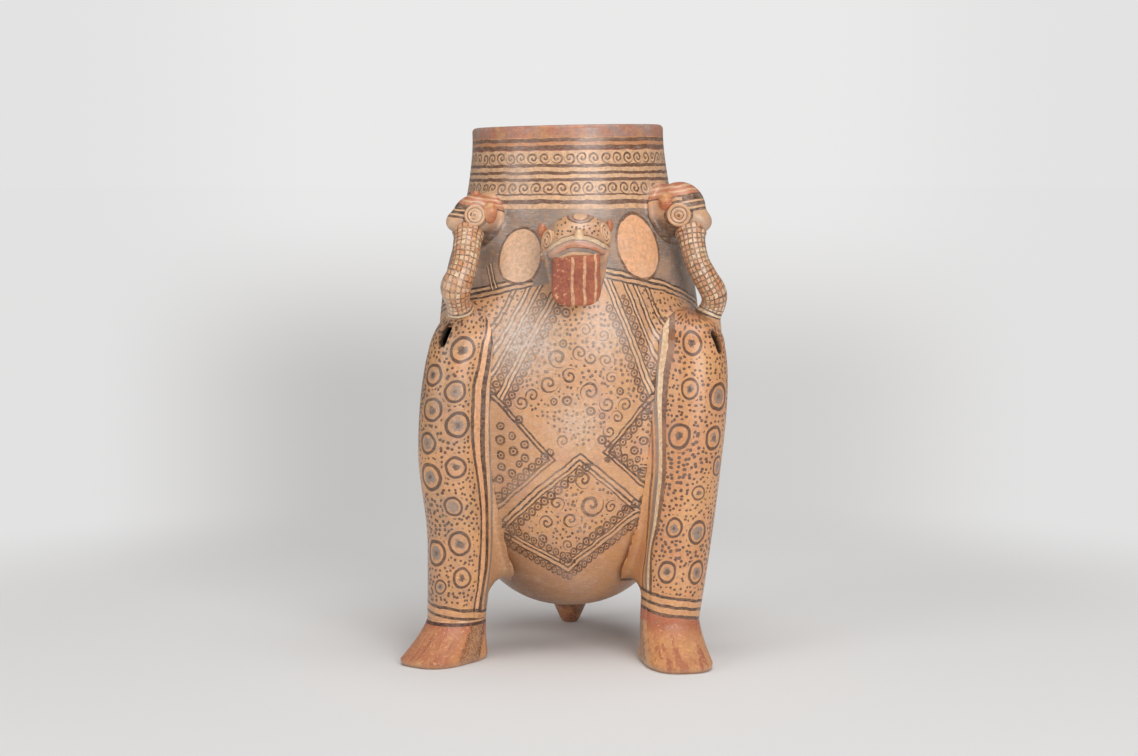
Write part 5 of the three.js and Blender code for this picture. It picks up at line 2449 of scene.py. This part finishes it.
@dataclass
class Studio:
    """A pale sweep of floor with soft light from both sides and above, as for a museum's catalogue.

    Attributes:
        reach: How far the floor reaches, in metres.
        ambient: The strength of the light from all around.
        middle: How far aside the middle tone is lost and how far it is full, as shares of the distance.
    """

    reach: float = 45.0
    ambient: float = 0.29
    middle: tuple[float, float] = (0.21, 0.09)

    def build(self) -> None:
        """Lays the floor and hangs the lights."""
        self.floor()
        self.air()
        for name, size, power, place in (
            ("key_light", 1.5, 43.0, (1.05, -2.45, 0.95)),
            ("fill_light", 1.4, 19.0, (-2.3, -1.6, 0.9)),
            ("top_light", 2.0, 41.0, (0.2, -0.2, 2.8)),
        ):
            self.light(name, size, power, place)
        bpy.context.scene.view_settings.view_transform = "Standard"

    def floor(self) -> None:
        """Lays the floor: matt paper that takes the jar's shadow near it.

        Far from the jar it glows in the backdrop's tone as one seamless sweep, with a painted shadow behind the jar,
        darker at left.
        """
        bm = bmesh.new()
        bmesh.ops.create_circle(bm, cap_ends=True, segments=96, radius=self.reach)
        floor = made("studio_floor", bm, Matrix())
        ware = Ware(bpy.data.materials.new("matt_floor_paper"))
        add, smooth, colour = ware.add, {"interpolation_type": "SMOOTHSTEP"}, {"data_type": "RGBA", "out": 2}
        place = add("TexCoord", out=3)
        x, y, _ = add("SeparateXYZ", place, out=None)
        depth = add("Math.ADD", y, -SIGHT.eye[1] * MM)
        aside = add("Math.DIVIDE", x, depth)
        # Painted shadow: a darker band behind the jar, darker on its left, fading towards the horizon and the sides.
        width = add("MapRange", add("Math.ABSOLUTE", aside), *self.middle, **smooth)
        near = add("MapRange", add("Math.DIVIDE", 1.0, depth), 0.04, 0.32, **smooth)
        side = add("MapRange", aside, -0.08, 0.08)
        painted_shadow_tone = add("Mix", side, (6, linear("#C2C1BF")), (7, linear("#D0CFCD")), **colour)
        painted_shadow_tone = add("Mix", near, (6, linear("#EAE9E9")), (7, painted_shadow_tone), **colour)
        sweep = add("Mix", width, (6, linear("#E3E2E2")), (7, painted_shadow_tone), **colour)
        far = add("MapRange", add("VectorMath.LENGTH", place, out=1), 0.33, 0.68, **smooth)
        seen = add("Math.MULTIPLY", far, add("LightPath"))
        paper = add("BsdfPrincipled", linear("#E4E3E2"), (2, 0.9))
        add("OutputMaterial", add("MixShader", seen, paper, add("Emission", sweep, 1.0)))
        floor.data.materials.append(ware.block)

    def air(self) -> None:
        """Fills the studio with pale air, lighter towards the middle, which the camera sees at its own level."""
        sky = Ware(bpy.data.worlds.new("studio_air"))
        aside = sky.add("Math.ABSOLUTE", sky.add("SeparateXYZ", sky.add("TexCoord")))
        width = sky.add("MapRange", aside, *self.middle, interpolation_type="SMOOTHSTEP")
        tone = sky.add("Mix", width, (6, linear("#E3E3E3")), (7, linear("#EBEAEA")), data_type="RGBA", out=2)
        level = sky.add("MapRange", sky.add("LightPath"), (3, self.ambient))
        sky.add("OutputWorld", sky.add("Background", tone, level))
        bpy.context.scene.world = sky.block

    def light(self, name: str, size: float, power: float, place: Triple) -> None:
        """Hangs a soft box that looks at the jar.

        Args:
            name: The light's name.
            size: The side of its square face, in metres.
            power: Its power in watts.
            place: Where it hangs, in metres.
        """
        data = bpy.data.lights.new(name, "AREA")
        data.shape, data.size, data.energy = "SQUARE", size, power
        light = bpy.data.objects.new(name, data)
        light.location = place
        jar_middle = Vector((0, 0, 0.16))
        light.rotation_euler = (jar_middle - Vector(place)).to_track_quat("-Z", "Y").to_euler()
        bpy.context.scene.collection.objects.link(light)


def main() -> None:
    """Builds the jar piece by piece and sets it in the studio."""
    logging.basicConfig(level=logging.INFO, format="%(name)s: %(message)s")
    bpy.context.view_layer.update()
    SIGHT.stand()
    Studio().build()
    jar_paint = JarPainting().mixed()
    cream = PlainSlip("cream_slip", Slip.CREAM, Slip.PEACH).mixed()
    red = PlainSlip("red_slip", Slip.RED, Slip.ORANGE).mixed()
    bare = PlainSlip("bare_clay", Slip.BARE, Slip.TAN, 0.85).mixed()
    feline = FelineHead()
    joints = (
        (LEFT_LEG.form, 15.0), (RIGHT_LEG.form, 15.0), (LEFT_HEAD.lump(), 12.0), (RIGHT_HEAD.lump(), 12.0),
        (CoilForm(LEFT_HEAD.course()), 6.0), (CoilForm(RIGHT_HEAD.course()), 6.0),
    )
    JarWall(luted=joints).build(jar_paint, PlainSlip("worn_red_slip", Slip.CLAY_RED, Slip.MAUVE).mixed())
    eye = EyePainting().mixed()
    for leg, spots, ankle in (
        (LEFT_LEG, LEFT_SPOTS, ((434, 622), (473, 628))), (RIGHT_LEG, RIGHT_SPOTS, ((657, 613), (695, 618))),
    ):
        leg.build(LegPainting(leg, spots, ankle).mixed(), FootPainting(leg.side).mixed(), bare)
    Tail().build(PlainSlip("smoked_red_slip", Slip.CLAY_RED, Slip.BROWN).mixed())
    for head, worn in ((LEFT_HEAD, 0.8), (RIGHT_HEAD, 0.5)):
        net = ArmPainting(head.side.value, Slip.PEACH, worn, head.course_length()).mixed()
        head.build(SmallHeadPainting(head).mixed(), net, eye, red)
    jaw = PlainSlip("smoked_cream_slip", Slip.TAN, Slip.GREY).mixed()
    feline.build(FacePainting().mixed(), TonguePainting().mixed(), jaw, cream, eye, red)


if __name__ == "__main__":
    main()
